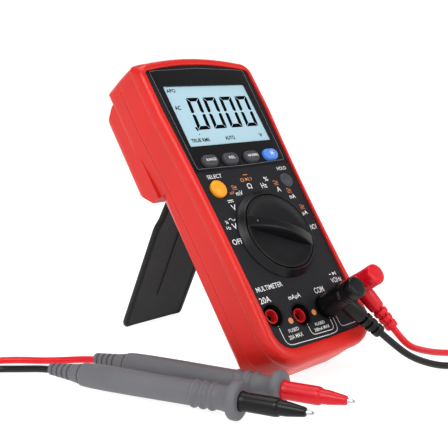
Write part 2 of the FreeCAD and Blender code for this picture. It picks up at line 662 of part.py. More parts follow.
# Routes in the floor's frame. Each begins or ends at a plug's boot, at a coil's wall or at a
# probe's boot; z is the middle of the lead.
BLACK_FROM_PLUG = [
    (32.4, -93.8, 19.2), (38.5, -99.5, 12.5), (50.0, -103.5, 6.5), (62.5, -108.0, 2.4),
    (75.0, -113.5, 1.9), (83.5, -123.0, 1.9), (84.0, -135.0, 1.9), (75.0, -143.5, 1.9),
    (58.0, -146.0, 1.9), (32.0, -151.0, 1.9), (4.0, -162.5, 1.9), (-26.0, -173.5, 1.9),
    (-54.0, -181.0, 1.9), (-75.0, -180.5, 1.9), (-93.0, -177.6, 1.9)]
BLACK_TO_PROBE = [
    (-127.1, -159.1, 5.3), (-137.9, -144.6, 4.6), (-152.0, -124.0, 2.0), (-166.0, -92.0, 1.9),
    (-174.0, -54.0, 1.9), (-172.5, -16.0, 1.9), (-163.0, 18.0, 1.9), (-150.0, 45.0, 1.9),
    (-138.0, 60.0, 1.9), (-123.5, 62.0, 1.9), (-113.5, 49.5, 2.8)]
RED_FROM_PLUG = [
    (42.3, -95.9, 16.4), (54.6, -96.6, 10.9), (67.5, -97.6, 6.5), (80.5, -99.4, 3.3),
    (93.0, -102.5, 1.9), (105.0, -109.5, 1.9), (111.5, -122.0, 1.9), (112.5, -138.0, 1.9),
    (111.3, -151.0, 1.9), (110.0, -161.0, 1.9)]
RED_TO_PROBE = [
    (77.0, -193.1, 5.7), (59.0, -192.6, 4.8), (34.0, -193.5, 2.0), (-2.0, -192.0, 1.9),
    (-42.0, -195.0, 1.9), (-80.0, -194.0, 1.9), (-113.0, -184.0, 1.9), (-140.0, -162.0, 1.9),
    (-163.0, -131.0, 1.9), (-179.0, -95.0, 1.9), (-186.5, -56.0, 1.9), (-184.5, -18.0, 1.9),
    (-174.0, 17.0, 1.9), (-160.0, 47.0, 1.9), (-143.0, 69.0, 1.9), (-124.0, 76.0, 1.9),
    (-108.0, 67.0, 1.9), (-94.0, 49.0, 2.4)]


def plug_placement(jack_x, jack_y, boot_angle):
    """A plug's own frame: z out of its jack, x along its boot."""
    turn = Rotation(Vector(0, 0, 1), boot_angle)
    return METER.multiply(Placement(Vector(jack_x, jack_y, 0), turn))


def plug(colour, jack_x, jack_y, boot_angle):
    """A shrouded right-angle plug: cap, shroud in the well, tapered boot and a 4 mm pin."""
    place = plug_placement(jack_x, jack_y, boot_angle)
    radius, top, axis = dim("plug_radius"), dim("plug_top"), dim("boot_axis")
    gap = dim("rim_top") + 0.3
    body = Part.makeCylinder(radius, top - gap, Vector(0, 0, gap))
    crown = [e for e in body.Edges if e.BoundBox.ZMin > top - 0.01]
    body = body.makeFillet(2.6, crown)
    boot = Part.makeCone(4.6, 3.2, dim("boot_length") - 3.0, Vector(3.0, 0, axis),
                         Vector(1, 0, 0))
    low = Vector(0, 0, -dim("shroud_depth"))
    outer = Part.makeCylinder(dim("shroud_radius"), dim("shroud_depth") + gap + 0.5, low)
    inner = Part.makeCylinder(dim("shroud_radius") - dim("shroud_wall"),
                              dim("shroud_depth") + gap, low)
    keep(solid(body.fuse([boot, outer]).cut(inner)), f"plug_{colour}", place)
    keep(rod("0", "0", "-19.5", "[rim_top] + 0.3", "[pin_r]"), f"plug_pin_{colour}", place)
    start = place.multVec(Vector(dim("boot_length"), 0, axis))
    return start


def probe_placement(colour):
    """A probe's own frame: z from its boot towards its tip."""
    where, along = PROBES[colour]
    return Placement(where, Rotation(Vector(0, 0, 1), along))


def probe(colour):
    """Handle with its boot and finger flange, insulated barrel and steel tip."""
    place = probe_placement(colour)
    grip_end = dim("handle_length")
    flange_end = grip_end + 5.0
    barrel_end = flange_end + dim("barrel_length") - 2.0
    cone_end = barrel_end + dim("cone_length") - 2.0
    pin_end = cone_end + dim("probe_pin_length")
    bore = rod("0", "0", str(cone_end - 18.0), str(cone_end + 5.0), "[probe_pin_radius]")
    boot = taper("0", "0", "-[probe_boot]", "0", "3.3", "5.8")
    handle = rod("0", "0", "0", str(grip_end), "[handle_radius]")
    flange = rod("0", "0", str(grip_end), str(flange_end), "[flange_radius]")
    keep(fuse(boot, handle, flange), f"probe_handle_{colour}", place)
    barrel = rod("0", "0", str(flange_end), str(barrel_end), "[barrel_radius]")
    cone = taper("0", "0", str(barrel_end), str(cone_end), "3.7", "2.0")
    keep(cut(fuse(barrel, cone), bore), f"probe_barrel_{colour}", place)
    pin = rod("0", "0", str(cone_end - 18.0), str(pin_end - 1.5), "[probe_pin_radius]")
    point = taper("0", "0", str(pin_end - 1.5), str(pin_end), "[probe_pin_radius]", "0.25")
    keep(fuse(pin, point), f"probe_tip_{colour}", place)
    return place.multVec(Vector(0, 0, -dim("probe_boot")))


def tube_path(points):
    """Straight runs joined by tangent arcs, each as large as its two runs allow."""
    edges, radii, here = [], [], points[0]
    for before, corner, after in zip(points, points[1:], points[2:]):
        back, ahead = before.sub(corner), after.sub(corner)
        turn = math.pi - back.getAngle(ahead)
        reach = 0.45 * min(back.Length, ahead.Length)
        radius = reach / math.tan(turn / 2)
        radii.append(radius)
        enter = corner.add(Vector(back).normalize().multiply(reach))
        leave = corner.add(Vector(ahead).normalize().multiply(reach))
        inward = enter.add(leave).multiply(0.5).sub(corner).normalize()
        depth = radius / math.cos(turn / 2) - radius
        middle = corner.add(inward.multiply(depth))
        edges.append(Part.LineSegment(here, enter).toShape())
        edges.append(Part.Arc(enter, middle, leave).toShape())
        here = leave
    edges.append(Part.LineSegment(here, points[-1]).toShape())
    return Part.Wire(edges), radii


def lead_tube(label, points):
    """One uncoiled stretch of a lead, checked against its section times its length."""
    radius = dim("lead_diameter") / 2
    path, radii = tube_path([Vector(*p) for p in points])
    along = Vector(*points[1]).sub(Vector(*points[0]))
    section = Part.Wire(Part.makeCircle(radius, Vector(*points[0]), along))
    tube = path.makePipeShell([section], True, False)
    expected = math.pi * radius ** 2 * path.Length
    print(f"{label}: {path.Length:.1f} mm, tightest arc {min(radii):.1f} mm, "
          f"volume {tube.Volume / expected:.4f} of its section times its length")
    keep(solid(tube), label, FLOOR)
    return path.Length


def coil(colour):
    """The outer shape of a coiled stretch lying on the floor."""
    centre, inner, height = COILS[colour]
    outer = dim("coil_radius") + 4.0
    ring = Part.makeCylinder(outer, height, centre).cut(Part.makeCylinder(inner, height, centre))
    return keep(solid(ring), f"coil_{colour}", FLOOR)


def test_leads():
    """Both leads: plug, tube to the coil, coil, tube to the probe, probe."""
    plug_ends = {
        "black": plug("black", dim("jack_inner_x"), dim("jack_inner_y"), BLACK_BOOT_ANGLE),
        "red": plug("red", dim("jack_outer_x"), dim("jack_outer_y"), RED_BOOT_ANGLE)}
    routes = {"black": (BLACK_FROM_PLUG, BLACK_TO_PROBE), "red": (RED_FROM_PLUG, RED_TO_PROBE)}
    for colour, (from_plug, to_probe) in routes.items():
        probe_end = probe(colour)
        print(f"{colour} lead leaves its plug at {plug_ends[colour]} and ends at {probe_end}")
        lead_tube(f"lead_{colour}_plug_side", [tuple(plug_ends[colour]), *from_plug])
        coil(colour)
        lead_tube(f"lead_{colour}_probe_side", [*to_probe, tuple(probe_end)])


# ---------------------------------------------------------------- make, check and write

front_housing()
rear_housing()
case_screws()
face_panel()
display_bezel()
display_stack()
for key, (x, y) in OVALS.items():
    oval_key(key, x, y)
round_key("select", *ROUNDS["select"], "2.8")
round_key("hold", *ROUNDS["hold"], "1.5")
keypad()
knob()
rotor()
jack_block()
jack_sleeves()
jack_contacts()
main_board()
electronics()
battery()
stand()
stand_pin()
test_leads()
DOC.recompute()

for obj in DOC.Objects:
    if {"Invalid", "Error"} & set(obj.State):
        raise RuntimeError(f"{obj.Name} ({obj.Label}) failed: {obj.State}")
for piece in PIECES:
    if piece.Shape.isNull() or not piece.Shape.isValid():
        raise RuntimeError(f"{piece.Label} has no valid shape")

os.makedirs("parts", exist_ok=True)
for piece in PIECES:
    piece.Shape.exportStep(os.path.join("parts", f"{piece.Label}.step"))
print(f"{len(PIECES)} pieces written")
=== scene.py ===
import json
import math
import bmesh
import bpy
from mathutils import Matrix, Vector


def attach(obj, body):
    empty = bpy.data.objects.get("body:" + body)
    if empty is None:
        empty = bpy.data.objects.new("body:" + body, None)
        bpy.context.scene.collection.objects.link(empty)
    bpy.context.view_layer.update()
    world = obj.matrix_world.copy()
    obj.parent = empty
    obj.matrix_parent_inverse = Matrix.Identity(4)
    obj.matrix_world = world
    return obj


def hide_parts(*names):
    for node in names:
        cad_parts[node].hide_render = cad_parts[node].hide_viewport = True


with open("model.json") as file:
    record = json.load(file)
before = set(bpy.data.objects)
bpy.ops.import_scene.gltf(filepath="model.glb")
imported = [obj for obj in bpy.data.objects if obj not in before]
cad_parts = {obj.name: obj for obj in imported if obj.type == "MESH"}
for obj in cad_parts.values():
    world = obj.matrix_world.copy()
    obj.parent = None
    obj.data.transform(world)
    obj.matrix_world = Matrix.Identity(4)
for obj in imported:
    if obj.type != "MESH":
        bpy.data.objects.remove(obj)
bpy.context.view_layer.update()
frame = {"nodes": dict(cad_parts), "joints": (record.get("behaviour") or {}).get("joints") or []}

MM = 0.001
BODY = "meter"

# The meter's own frame, in mm: x across the face, y up it, z out of it. The rotary switch's
# joint gives its lean and place; the switch is KNOB_Y up the face.
JOINTS = {joint["name"]: joint for joint in frame["joints"]}
SWITCH = JOINTS["selector_turn"]
KNOB_Y = 60.0
METER = (Matrix.Translation(SWITCH["pos_m"])
         @ Matrix.Rotation(math.atan2(-SWITCH["axis"][1], SWITCH["axis"][2]), 4, "X")
         @ Matrix.Scale(MM, 4) @ Matrix.Translation((0, -KNOB_Y, 0)))


def on_face(node):
    """Lowest and highest corners of a CAD node in the meter's frame."""
    to_face = METER.inverted()
    points = [to_face @ vertex.co for vertex in frame["nodes"][node].data.vertices]
    return tuple([pick(p[i] for p in points) for i in range(3)] for pick in (min, max))


def middle(node):
    low, high = on_face(node)
    return ((low[0] + high[0]) / 2, (low[1] + high[1]) / 2)


JACKS = {name: middle(f"jack_{name}") for name in ("20a", "ma", "com", "volt")}


# ---------------------------------------------------------------- camera

SENSOR_MM, LENS_MM = 36.0, 64.36
CAMERA_AT, CAMERA_AIM = (-0.31457, -0.33186, 0.16743), (0.66873, 0.71707, -0.19652)


def look(position, forward):
    camera = bpy.data.objects.new("camera", bpy.data.cameras.new("camera"))
    camera.data.lens, camera.data.sensor_width = LENS_MM, SENSOR_MM
    camera.data.clip_start, camera.data.clip_end = 0.01, 20.0
    camera.location = position
    camera.rotation_euler = Vector(forward).to_track_quat("-Z", "Y").to_euler()
    bpy.context.collection.objects.link(camera)
    bpy.context.scene.camera = camera


look(CAMERA_AT, CAMERA_AIM)


# ---------------------------------------------------------------- test leads

LEAD = 0.0038       # diameter, in metres
PLUG_AXIS = 12.5    # the boot's height above the face, in mm

# PLUGS: each plug's jack and the way its boot points. PROBES: where a handle starts and the
# way it points. ROUTES: points, in mm, from the plug to the coil and from the coil to the probe.
PLUGS = {"black": ("com", math.radians(-55.0)), "red": ("volt", math.radians(-71.0))}
PROBES = {"black": ((-97.0, 11.0, 6.62), (0.346, -0.938, 0.034)),
          "red": ((-71.0, 7.0, 6.62), (0.330, -0.944, 0.034))}
ROUTES = {
    "black": (
        [(32.4, -93.8, 19.2), (38.5, -99.5, 12.5), (50.0, -103.5, 6.5), (62.5, -108.0, 2.4),
         (75.0, -113.5, 1.9), (83.5, -123.0, 1.9), (84.0, -135.0, 1.9), (75.0, -143.5, 1.9),
         (58.0, -146.0, 1.9), (32.0, -151.0, 1.9), (4.0, -162.5, 1.9), (-26.0, -173.5, 1.9),
         (-54.0, -181.0, 1.9), (-75.0, -180.5, 1.9), (-93.0, -177.6, 1.9)],
        [(-127.1, -159.1, 5.7), (-137.9, -144.6, 4.6), (-152.0, -124.0, 2.0),
         (-166.0, -92.0, 1.9), (-174.0, -54.0, 1.9), (-172.5, -16.0, 1.9), (-163.0, 18.0, 1.9),
         (-150.0, 45.0, 1.9), (-138.0, 60.0, 1.9), (-123.5, 62.0, 1.9), (-113.5, 49.5, 2.8)]),
    "red": (
        [(42.3, -95.9, 16.4), (54.6, -96.6, 10.9), (67.5, -97.6, 6.5), (80.5, -99.4, 3.3),
         (93.0, -102.5, 1.9), (105.0, -109.5, 1.9), (111.5, -122.0, 1.9), (112.5, -138.0, 1.9),
         (111.3, -151.0, 1.9), (110.0, -161.0, 1.9)],
        [(77.0, -193.1, 5.7), (59.0, -192.6, 4.8), (34.0, -193.5, 2.0), (-2.0, -192.0, 1.9),
         (-42.0, -195.0, 1.9), (-80.0, -194.0, 1.9), (-113.0, -184.0, 1.9),
         (-140.0, -162.0, 1.9), (-163.0, -131.0, 1.9), (-179.0, -95.0, 1.9),
         (-186.5, -56.0, 1.9), (-184.5, -18.0, 1.9), (-174.0, 17.0, 1.9), (-160.0, 47.0, 1.9),
         (-143.0, 69.0, 1.9), (-124.0, 76.0, 1.9), (-108.0, 67.0, 1.9), (-94.0, 49.0, 2.4)])}


def ease(value, low, high):
    """0 below low, 1 above high, smooth between."""
    t = min(max((value - low) / (high - low), 0.0), 1.0)
    return t * t * (3 - 2 * t)


def black_turn(turned):
    """Two turns side by side on the floor and a third in the groove between them."""
    radius = 24.4 - 3.9 * ease(turned, 290, 355) + 1.8 * ease(turned, 610, 675)
    height = 1.9 + 3.8 * ease(turned, 600, 680) - 0.4 * ease(turned, 740, 800)
    return radius, height + 0.4 * ease(turned, 1060, 1120)


def red_turn(turned):
    """One turn on the floor and one that lies on it, a little further in."""
    return (24.4 - 2.2 * ease(turned, 285, 340),
            1.9 + 3.5 * ease(turned, 280, 335) + 0.3 * ease(turned, 700, 780))


# Each coil's centre, the angle where its lead comes in, the degrees it turns and its shape.
COILS = {"black": ((-104.0, -153.0), -90.0, 1133.0, black_turn),
         "red": ((86.0, -171.0), 0.0, 810.0, red_turn)}


def coil_points(centre, start, total, shape):
    """Points round a coil, clockwise from start, for total degrees."""
    step = 22.5
    points, count = [], round(total / step)
    for k in range(count + 1):
        turned = total * k / count
        radius, height = shape(turned)
        angle = math.radians(start - turned)
        points.append((centre[0] + radius * math.cos(angle),
                       centre[1] + radius * math.sin(angle), height))
    return points


def plug_frame(colour):
    """A plug's own frame: z out of its jack, x along its boot."""
    jack, turn = PLUGS[colour]
    return METER @ Matrix.Translation((*JACKS[jack], 0)) @ Matrix.Rotation(turn, 4, "Z")


def probe_frame(colour):
    """A probe's own frame: z from its boot towards its tip."""
    where, along = PROBES[colour]
    turn = Vector(along).to_track_quat("Z", "Y").to_matrix().to_4x4()
    return Matrix.Scale(MM, 4) @ Matrix.Translation(where) @ turn


def lead_curve(colour):
    plug, probe = plug_frame(colour), probe_frame(colour)
    from_plug, to_probe = ROUTES[colour]
    points = [plug @ Vector((x, 0, PLUG_AXIS)) for x in (20, 30)]
    points += [Vector(p) * MM for p in [*from_plug, *coil_points(*COILS[colour]), *to_probe]]
    points += [probe @ Vector((0, 0, z)) for z in (-21, 8, 36, 62)]
    curve = bpy.data.curves.new(f"lead_{colour}", "CURVE")
    curve.dimensions, curve.resolution_u = "3D", 6
    curve.bevel_depth, curve.bevel_resolution, curve.use_fill_caps = LEAD / 2, 6, True
    spline = curve.splines.new("NURBS")
    spline.points.add(len(points) - 1)
    for control, point in zip(spline.points, points):
        control.co = (*point, 1.0)
    spline.order_u, spline.use_endpoint_u = 3, True
    lead = bpy.data.objects.new(f"lead_{colour}", curve)
    bpy.context.collection.objects.link(lead)
    return lead


LEADS = {colour: lead_curve(colour) for colour in PLUGS}


# ---------------------------------------------------------------- materials

def srgb(red, green, blue):
    def linear(value):
        value /= 255
        return value / 12.92 if value <= 0.04045 else ((value + 0.055) / 1.055) ** 2.4
    return (linear(red), linear(green), linear(blue), 1.0)


def material(name, colour, rough=0.45, spread=0.08, tint=0.06, grain=900.0, bump=0.12,
             depth=0.00005, metal=0.0, coat=0.0, coat_rough=0.1, smudge=45.0, specular=0.5,
             emission=0.0):
    """Moulded plastic or metal: fine grain in the surface, broad drift in colour and gloss."""
    mat = bpy.data.materials.new(name)
    mat.use_nodes = True
    nodes, links = mat.node_tree.nodes, mat.node_tree.links
    shader = nodes["Principled BSDF"]
    shader.inputs["Metallic"].default_value = metal
    shader.inputs["Coat Weight"].default_value = coat
    shader.inputs["Coat Roughness"].default_value = coat_rough
    shader.inputs["Specular IOR Level"].default_value = specular
    place = nodes.new("ShaderNodeTexCoord")
    broad = nodes.new("ShaderNodeTexNoise")
    broad.inputs["Scale"].default_value = smudge
    broad.inputs["Detail"].default_value = 4.0
    links.new(place.outputs["Object"], broad.inputs["Vector"])
    shade = nodes.new("ShaderNodeValToRGB")
    base = srgb(*colour)
    shade.color_ramp.elements[0].position, shade.color_ramp.elements[1].position = 0.3, 0.72
    shade.color_ramp.elements[0].color = (*[c * (1 - tint) for c in base[:3]], 1)
    shade.color_ramp.elements[1].color = (*[min(c * (1 + tint), 1) for c in base[:3]], 1)
    links.new(broad.outputs["Fac"], shade.inputs["Fac"])
    links.new(shade.outputs["Color"], shader.inputs["Base Color"])
    gloss = nodes.new("ShaderNodeMapRange")
    gloss.inputs["From Min"].default_value, gloss.inputs["From Max"].default_value = 0.3, 0.7
    gloss.inputs["To Min"].default_value = max(rough - spread, 0.02)
    gloss.inputs["To Max"].default_value = rough + spread
    links.new(broad.outputs["Fac"], gloss.inputs["Value"])
    links.new(gloss.outputs["Result"], shader.inputs["Roughness"])
    if bump:
        fine = nodes.new("ShaderNodeTexNoise")
        fine.inputs["Scale"].default_value = grain
        fine.inputs["Detail"].default_value = 3.0
        links.new(place.outputs["Object"], fine.inputs["Vector"])
        relief = nodes.new("ShaderNodeBump")
        relief.inputs["Strength"].default_value = bump
        relief.inputs["Distance"].default_value = depth
        links.new(fine.outputs["Fac"], relief.inputs["Height"])
        links.new(relief.outputs["Normal"], shader.inputs["Normal"])
    if emission:
        links.new(shade.outputs["Color"], shader.inputs["Emission Color"])
        shader.inputs["Emission Strength"].default_value = emission
    return mat


MAT = {
    "case_red": material("case_red", (208, 36, 27), 0.36, 0.05, 0.05, 1500, 0.25, 0.00006),
    "panel_dark": material("panel_dark", (34, 34, 39), 0.5, 0.06, 0.12, 2200, 0.3, 0.00004,
                           specular=0.3),
    "bezel_black": material("bezel_black", (16, 15, 19), 0.2, 0.04, 0.1, 700, 0.02,
                            coat=0.4, coat_rough=0.05, specular=0.35),
    # the display's glass carries a faint painted glow: emission lifts it brighter than the lamps
    # alone would
    "lens_clear": material("lens_clear", (166, 192, 203), 0.3, 0.03, 0.02, 500, 0.02,
                           coat=0.2, coat_rough=0.06, smudge=25, specular=0.3,
                           emission=0.14),
    "lcd_blue": material("lcd_blue", (170, 204, 222), 0.3, 0.03, 0.02, 500, 0.02),
    "lcd_ink": material("lcd_ink", (4, 4, 6), 0.6, 0.04, 0.1, 800, 0.03, specular=0.05),
    "line_grey": material("line_grey", (120, 122, 128), 0.4, 0.05, 0.05, 1200, 0.05),
    "key_grey": material("key_grey", (68, 69, 75), 0.5, 0.06, 0.08, 1800, 0.25),
    "key_blue": material("key_blue", (86, 140, 222), 0.46, 0.06, 0.05, 1800, 0.25),
    "key_yellow": material("key_yellow", (244, 164, 30), 0.42, 0.06, 0.05, 1800, 0.25),
    "knob_black": material("knob_black", (21, 21, 24), 0.36, 0.06, 0.12, 2000, 0.3, 0.00005,
                           specular=0.35),
    "inner_plastic": material("inner_plastic", (70, 70, 74), 0.6),
    "block_black": material("block_black", (10, 10, 11), 0.5, 0.06, 0.1, 1500, 0.2,
                            specular=0.3),
    "sleeve_red": material("sleeve_red", (176, 12, 24), 0.34, 0.05, 0.06, 1200, 0.1),
    "contact_brass": material("contact_brass", (170, 132, 66), 0.34, 0.06, 0.08, 1400, 0.1,
                              metal=1.0),
    "steel": material("steel", (176, 178, 182), 0.3, 0.06, 0.06, 1600, 0.12, metal=1.0),
    "board_green": material("board_green", (30, 92, 52), 0.4),
    "chip_black": material("chip_black", (30, 30, 32), 0.5),
    "fuse_ceramic": material("fuse_ceramic", (226, 222, 210), 0.4),
    "cell_wrap": material("cell_wrap", (60, 60, 64), 0.35, coat=0.3),
    "silicone": material("silicone", (90, 90, 94), 0.55),
    "stand_black": material("stand_black", (20, 20, 22), 0.46, 0.06, 0.12, 1500, 0.35,
                            0.00006, specular=0.3),
    "lead_black": material("lead_black", (15, 15, 17), 0.36, 0.06, 0.12, 700, 0.3, 0.0001),
    "lead_red": material("lead_red", (224, 15, 38), 0.36, 0.06, 0.08, 700, 0.3, 0.0001),
    "plug_black": material("plug_black", (12, 12, 14), 0.34, 0.06, 0.12, 1500, 0.2,
                           specular=0.4),
    "plug_red": material("plug_red", (214, 14, 36), 0.36, 0.06, 0.06, 1500, 0.2),
    "probe_grey": material("probe_grey", (113, 113, 117), 0.55, 0.06, 0.07, 1800, 0.4, 0.00008),
    "tip_steel": material("tip_steel", (196, 198, 202), 0.22, 0.05, 0.05, 1600, 0.08,
                          metal=1.0),
    "print_white": material("print_white", (226, 226, 226), 0.5, 0.05, 0.04, 2500, 0.1),
    "print_orange": material("print_orange", (214, 140, 88), 0.5, 0.05, 0.04, 2500, 0.1),
}

NODE_MATERIAL = {
    "front_housing": "case_red", "rear_housing": "case_red", "battery_cover": "case_red",
    "case_screws": "steel", "cover_screw": "steel", "face_panel": "panel_dark",
    "display_bezel": "bezel_black", "lcd_lens": "lens_clear", "lcd_cell": "lcd_blue",
    "backlight": "lens_clear", "contact_strips": "silicone", "keypad_sheet": "silicone",
    "key_range": "key_grey", "key_rel": "key_grey", "key_max_min": "key_grey",
    "key_light": "key_blue", "key_select": "key_yellow", "key_hold": "key_grey",
    "knob": "knob_black", "switch_rotor": "inner_plastic", "rotor_washer": "inner_plastic",
    "click_springs": "steel", "click_balls": "steel", "wiper_contacts": "contact_brass",
    "jack_block": "block_black", "jack_sleeves": "sleeve_red", "jack_20a": "contact_brass",
    "jack_ma": "contact_brass", "jack_com": "contact_brass", "jack_volt": "contact_brass",
    "main_board": "board_green", "chips": "chip_black", "buzzer": "chip_black",
    "fuses": "fuse_ceramic", "fuse_clips": "steel", "battery_cells": "cell_wrap",
    "battery_plates": "steel", "stand_leg": "stand_black", "stand_pin": "steel",
    "plug_black": "plug_black", "plug_red": "plug_red", "plug_pin_black": "steel",
    "plug_pin_red": "steel", "coil_black": "lead_black", "coil_red": "lead_red",
    "lead_black_plug_side": "lead_black", "lead_black_probe_side": "lead_black",
    "lead_red_plug_side": "lead_red", "lead_red_probe_side": "lead_red",
    "probe_handle_black": "probe_grey", "probe_handle_red": "probe_grey",
    "probe_barrel_black": "plug_black", "probe_barrel_red": "plug_red",
    "probe_tip_black": "tip_steel", "probe_tip_red": "tip_steel"}

for node, name in NODE_MATERIAL.items():
    cad = frame["nodes"][node]
    if not cad.material_slots:
        cad.data.materials.append(MAT[name])
    for place in cad.material_slots:
        place.material = MAT[name]


# ---------------------------------------------------------------- mesh building

def piece(name, verts, faces, finish, body=BODY, replaces=(), slot=None, place=METER,
          smooth=True, sharp=38.0):
    """A mesh in the row's frame, riding on a body, with its finish."""
    mesh = bpy.data.meshes.new(name)
    mesh.from_pydata([place @ Vector(v) for v in verts], [], faces)
    mesh.validate()
    form = bmesh.new()
    form.from_mesh(mesh)
    bmesh.ops.remove_doubles(form, verts=form.verts, dist=1e-7)
    bmesh.ops.recalc_face_normals(form, faces=form.faces)
    form.to_mesh(mesh)
    form.free()
    mesh.update()
    mesh.materials.append(MAT[finish])
    obj = bpy.data.objects.new(name, mesh)
    bpy.context.collection.objects.link(obj)
    if smooth:
        mesh.shade_smooth()
        mesh.set_sharp_from_angle(angle=math.radians(sharp))
    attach(obj, body)
    if replaces:
        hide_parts(*replaces)
    slot or finish
    return obj


def loft(rings, cap_start=False, cap_end=False, closed=True):
    """Vertices and faces of a skin over rings of equal count."""
    count = len(rings[0])
    verts = [point for ring in rings for point in ring]
    faces = []
    for k in range(len(rings) - 1):
        for i in range(count if closed else count - 1):
            a, b = k * count + i, k * count + (i + 1) % count
            faces.append((a, b, b + count, a + count))
    if cap_start:
        faces.append(tuple(reversed(range(count))))
    if cap_end:
        faces.append(tuple(range((len(rings) - 1) * count, len(rings) * count)))
    return verts, faces


def merge(*shapes):
    """Several vertex and face lists as one."""
    verts, faces = [], []
    for more_verts, more_faces in shapes:
        offset = len(verts)
        verts += list(more_verts)
        faces += [tuple(i + offset for i in face) for face in more_faces]
    return verts, faces


def moved(shape, matrix):
    """A vertex and face list turned and shifted by a matrix."""
    verts, faces = shape
    return [tuple(matrix @ Vector(v)) for v in verts], faces


def lathe(profile, x=0.0, y=0.0, count=48, cap_start=False, cap_end=False, shape=None):
    """A turned form about z: profile is (radius, z) from one end to the other.
    shape, when given, changes a radius by its angle."""
    rings = []
    for radius, z in profile:
        ring = []
        for i in range(count):
            angle = 2 * math.pi * i / count
            here = radius if shape is None else shape(radius, angle)
            ring.append((x + here * math.cos(angle), y + here * math.sin(angle), z))
        rings.append(ring)
    return loft(rings, cap_start, cap_end)


def arc_points(start, through, end, count):
    """Points on the circle through three points, without the last."""
    (ax, ay), (bx, by), (cx, cy) = start, through, end
    d = 2 * (ax * (by - cy) + bx * (cy - ay) + cx * (ay - by))
    if abs(d) < 1e-9:
        return [(ax + (cx - ax) * k / count, ay + (cy - ay) * k / count) for k in range(count)]
    a2, b2, c2 = ax * ax + ay * ay, bx * bx + by * by, cx * cx + cy * cy
    ox = (a2 * (by - cy) + b2 * (cy - ay) + c2 * (ay - by)) / d
    oy = (a2 * (cx - bx) + b2 * (ax - cx) + c2 * (bx - ax)) / d
    radius = math.hypot(ax - ox, ay - oy)
    first, last = math.atan2(ay - oy, ax - ox), math.atan2(cy - oy, cx - ox)
    half = math.atan2(by - oy, bx - ox)
    turn = (last - first) % (2 * math.pi)
    if (half - first) % (2 * math.pi) > turn:
        turn -= 2 * math.pi
    return [(ox + radius * math.cos(first + turn * k / count),
             oy + radius * math.sin(first + turn * k / count)) for k in range(count)]


def straight(start, end, count):
    return [(start[0] + (end[0] - start[0]) * k / count,
             start[1] + (end[1] - start[1]) * k / count) for k in range(count)]


def corner(cx, cy, radius, first, last, count):
    angles = [math.radians(first + (last - first) * k / count) for k in range(count)]
    return [(cx + radius * math.cos(a), cy + radius * math.sin(a)) for a in angles]


def both_sides(right):
    """Right-hand points from the foot's middle to the head's middle, and their mirror."""
    return right + [(-x, y) for x, y in reversed(right[1:])]


def case_outline(round_high, crown):
    """The case seen from the front; its head corners are tighter at the back than at the rim."""
    right = straight((0, -11.5), (21.5, -11.5), 6)
    right += corner(21.5, 8.0, 19.5, -90, 0, 16)
    right += arc_points((41.0, 8.0), (40.3, 66.0), (44.0, 140.0), 26)
    reach, top = 44.0 - round_high, 178.5
    right += straight((44.0, 140.0), (44.0, crown - round_high), 5)
    right += corner(reach, crown - round_high, round_high, 0, 90, 10)
    right += arc_points((reach, crown), (reach / 2, top - (top - crown) / 4), (0, top), 8)
    return both_sides(right + [(0, top)])[:-1]


def panel_outline(grow):
    """The dark panel seen from the front, let out by grow."""
    right = straight((0, -3.1 - grow), (23.8, -2.5 - grow), 6)
    right += corner(23.8, 8.5, 11.0 + grow, -90, 0, 16)
    right += arc_points((34.8 + grow, 8.5), (36.0 + grow, 66.0), (39.6 + grow, 142.0), 26)
    right += straight((39.6 + grow, 142.0), (39.6 + grow, 167.2), 5)
    right += corner(36.6, 167.2, 3.0 + grow, 0, 90, 10)
    right += arc_points((36.6, 170.2 + grow), (18.3, 173.1 + grow), (0, 174.0 + grow), 8)
    return both_sides(right + [(0, 174.0 + grow)])[:-1]


def normals(outline):
    """Outward directions at each point of a closed outline that runs anticlockwise."""
    result, count = [], len(outline)
    for i in range(count):
        (ax, ay), (bx, by) = outline[i - 1], outline[(i + 1) % count]
        length = math.hypot(bx - ax, by - ay) or 1.0
        result.append(((by - ay) / length, -(bx - ax) / length))
    return result


def inset_ring(outline, inset, z):
    """A closed outline moved inwards by an inset, at height z."""
    return [(x - nx * inset, y - ny * inset, z)
            for (x, y), (nx, ny) in zip(outline, normals(outline))]


RIM, SHELL, PANEL = case_outline(9.0, 175.0), case_outline(4.5, 176.7), panel_outline(0.15)
RIM_OUT = normals(RIM)


def case_ring(inset, z):
    """The case's outline at depth z, less an inset: the rim's at the face, then the shell's."""
    front = ease(z, -8.0, 0.5)
    outline = [(a + (c - a) * front, b + (d - b) * front)
               for (a, b), (c, d) in zip(SHELL, RIM)]
    return inset_ring(outline, inset, z)


def between_ring(share, inset, z):
    """Between the panel's edge (share 0) and the case's inset outline (share 1).
    At the head the rim laps over the panel."""
    lap = 1.4
    edge = [(x, y - lap * ease(y, 158.0, 171.0)) for x, y in PANEL]
    return [(px + (cx - nx * inset - px) * share, py + (cy - ny * inset - py) * share, z)
            for (px, py), (cx, cy), (nx, ny) in zip(edge, RIM, RIM_OUT)]


# ---------------------------------------------------------------- case

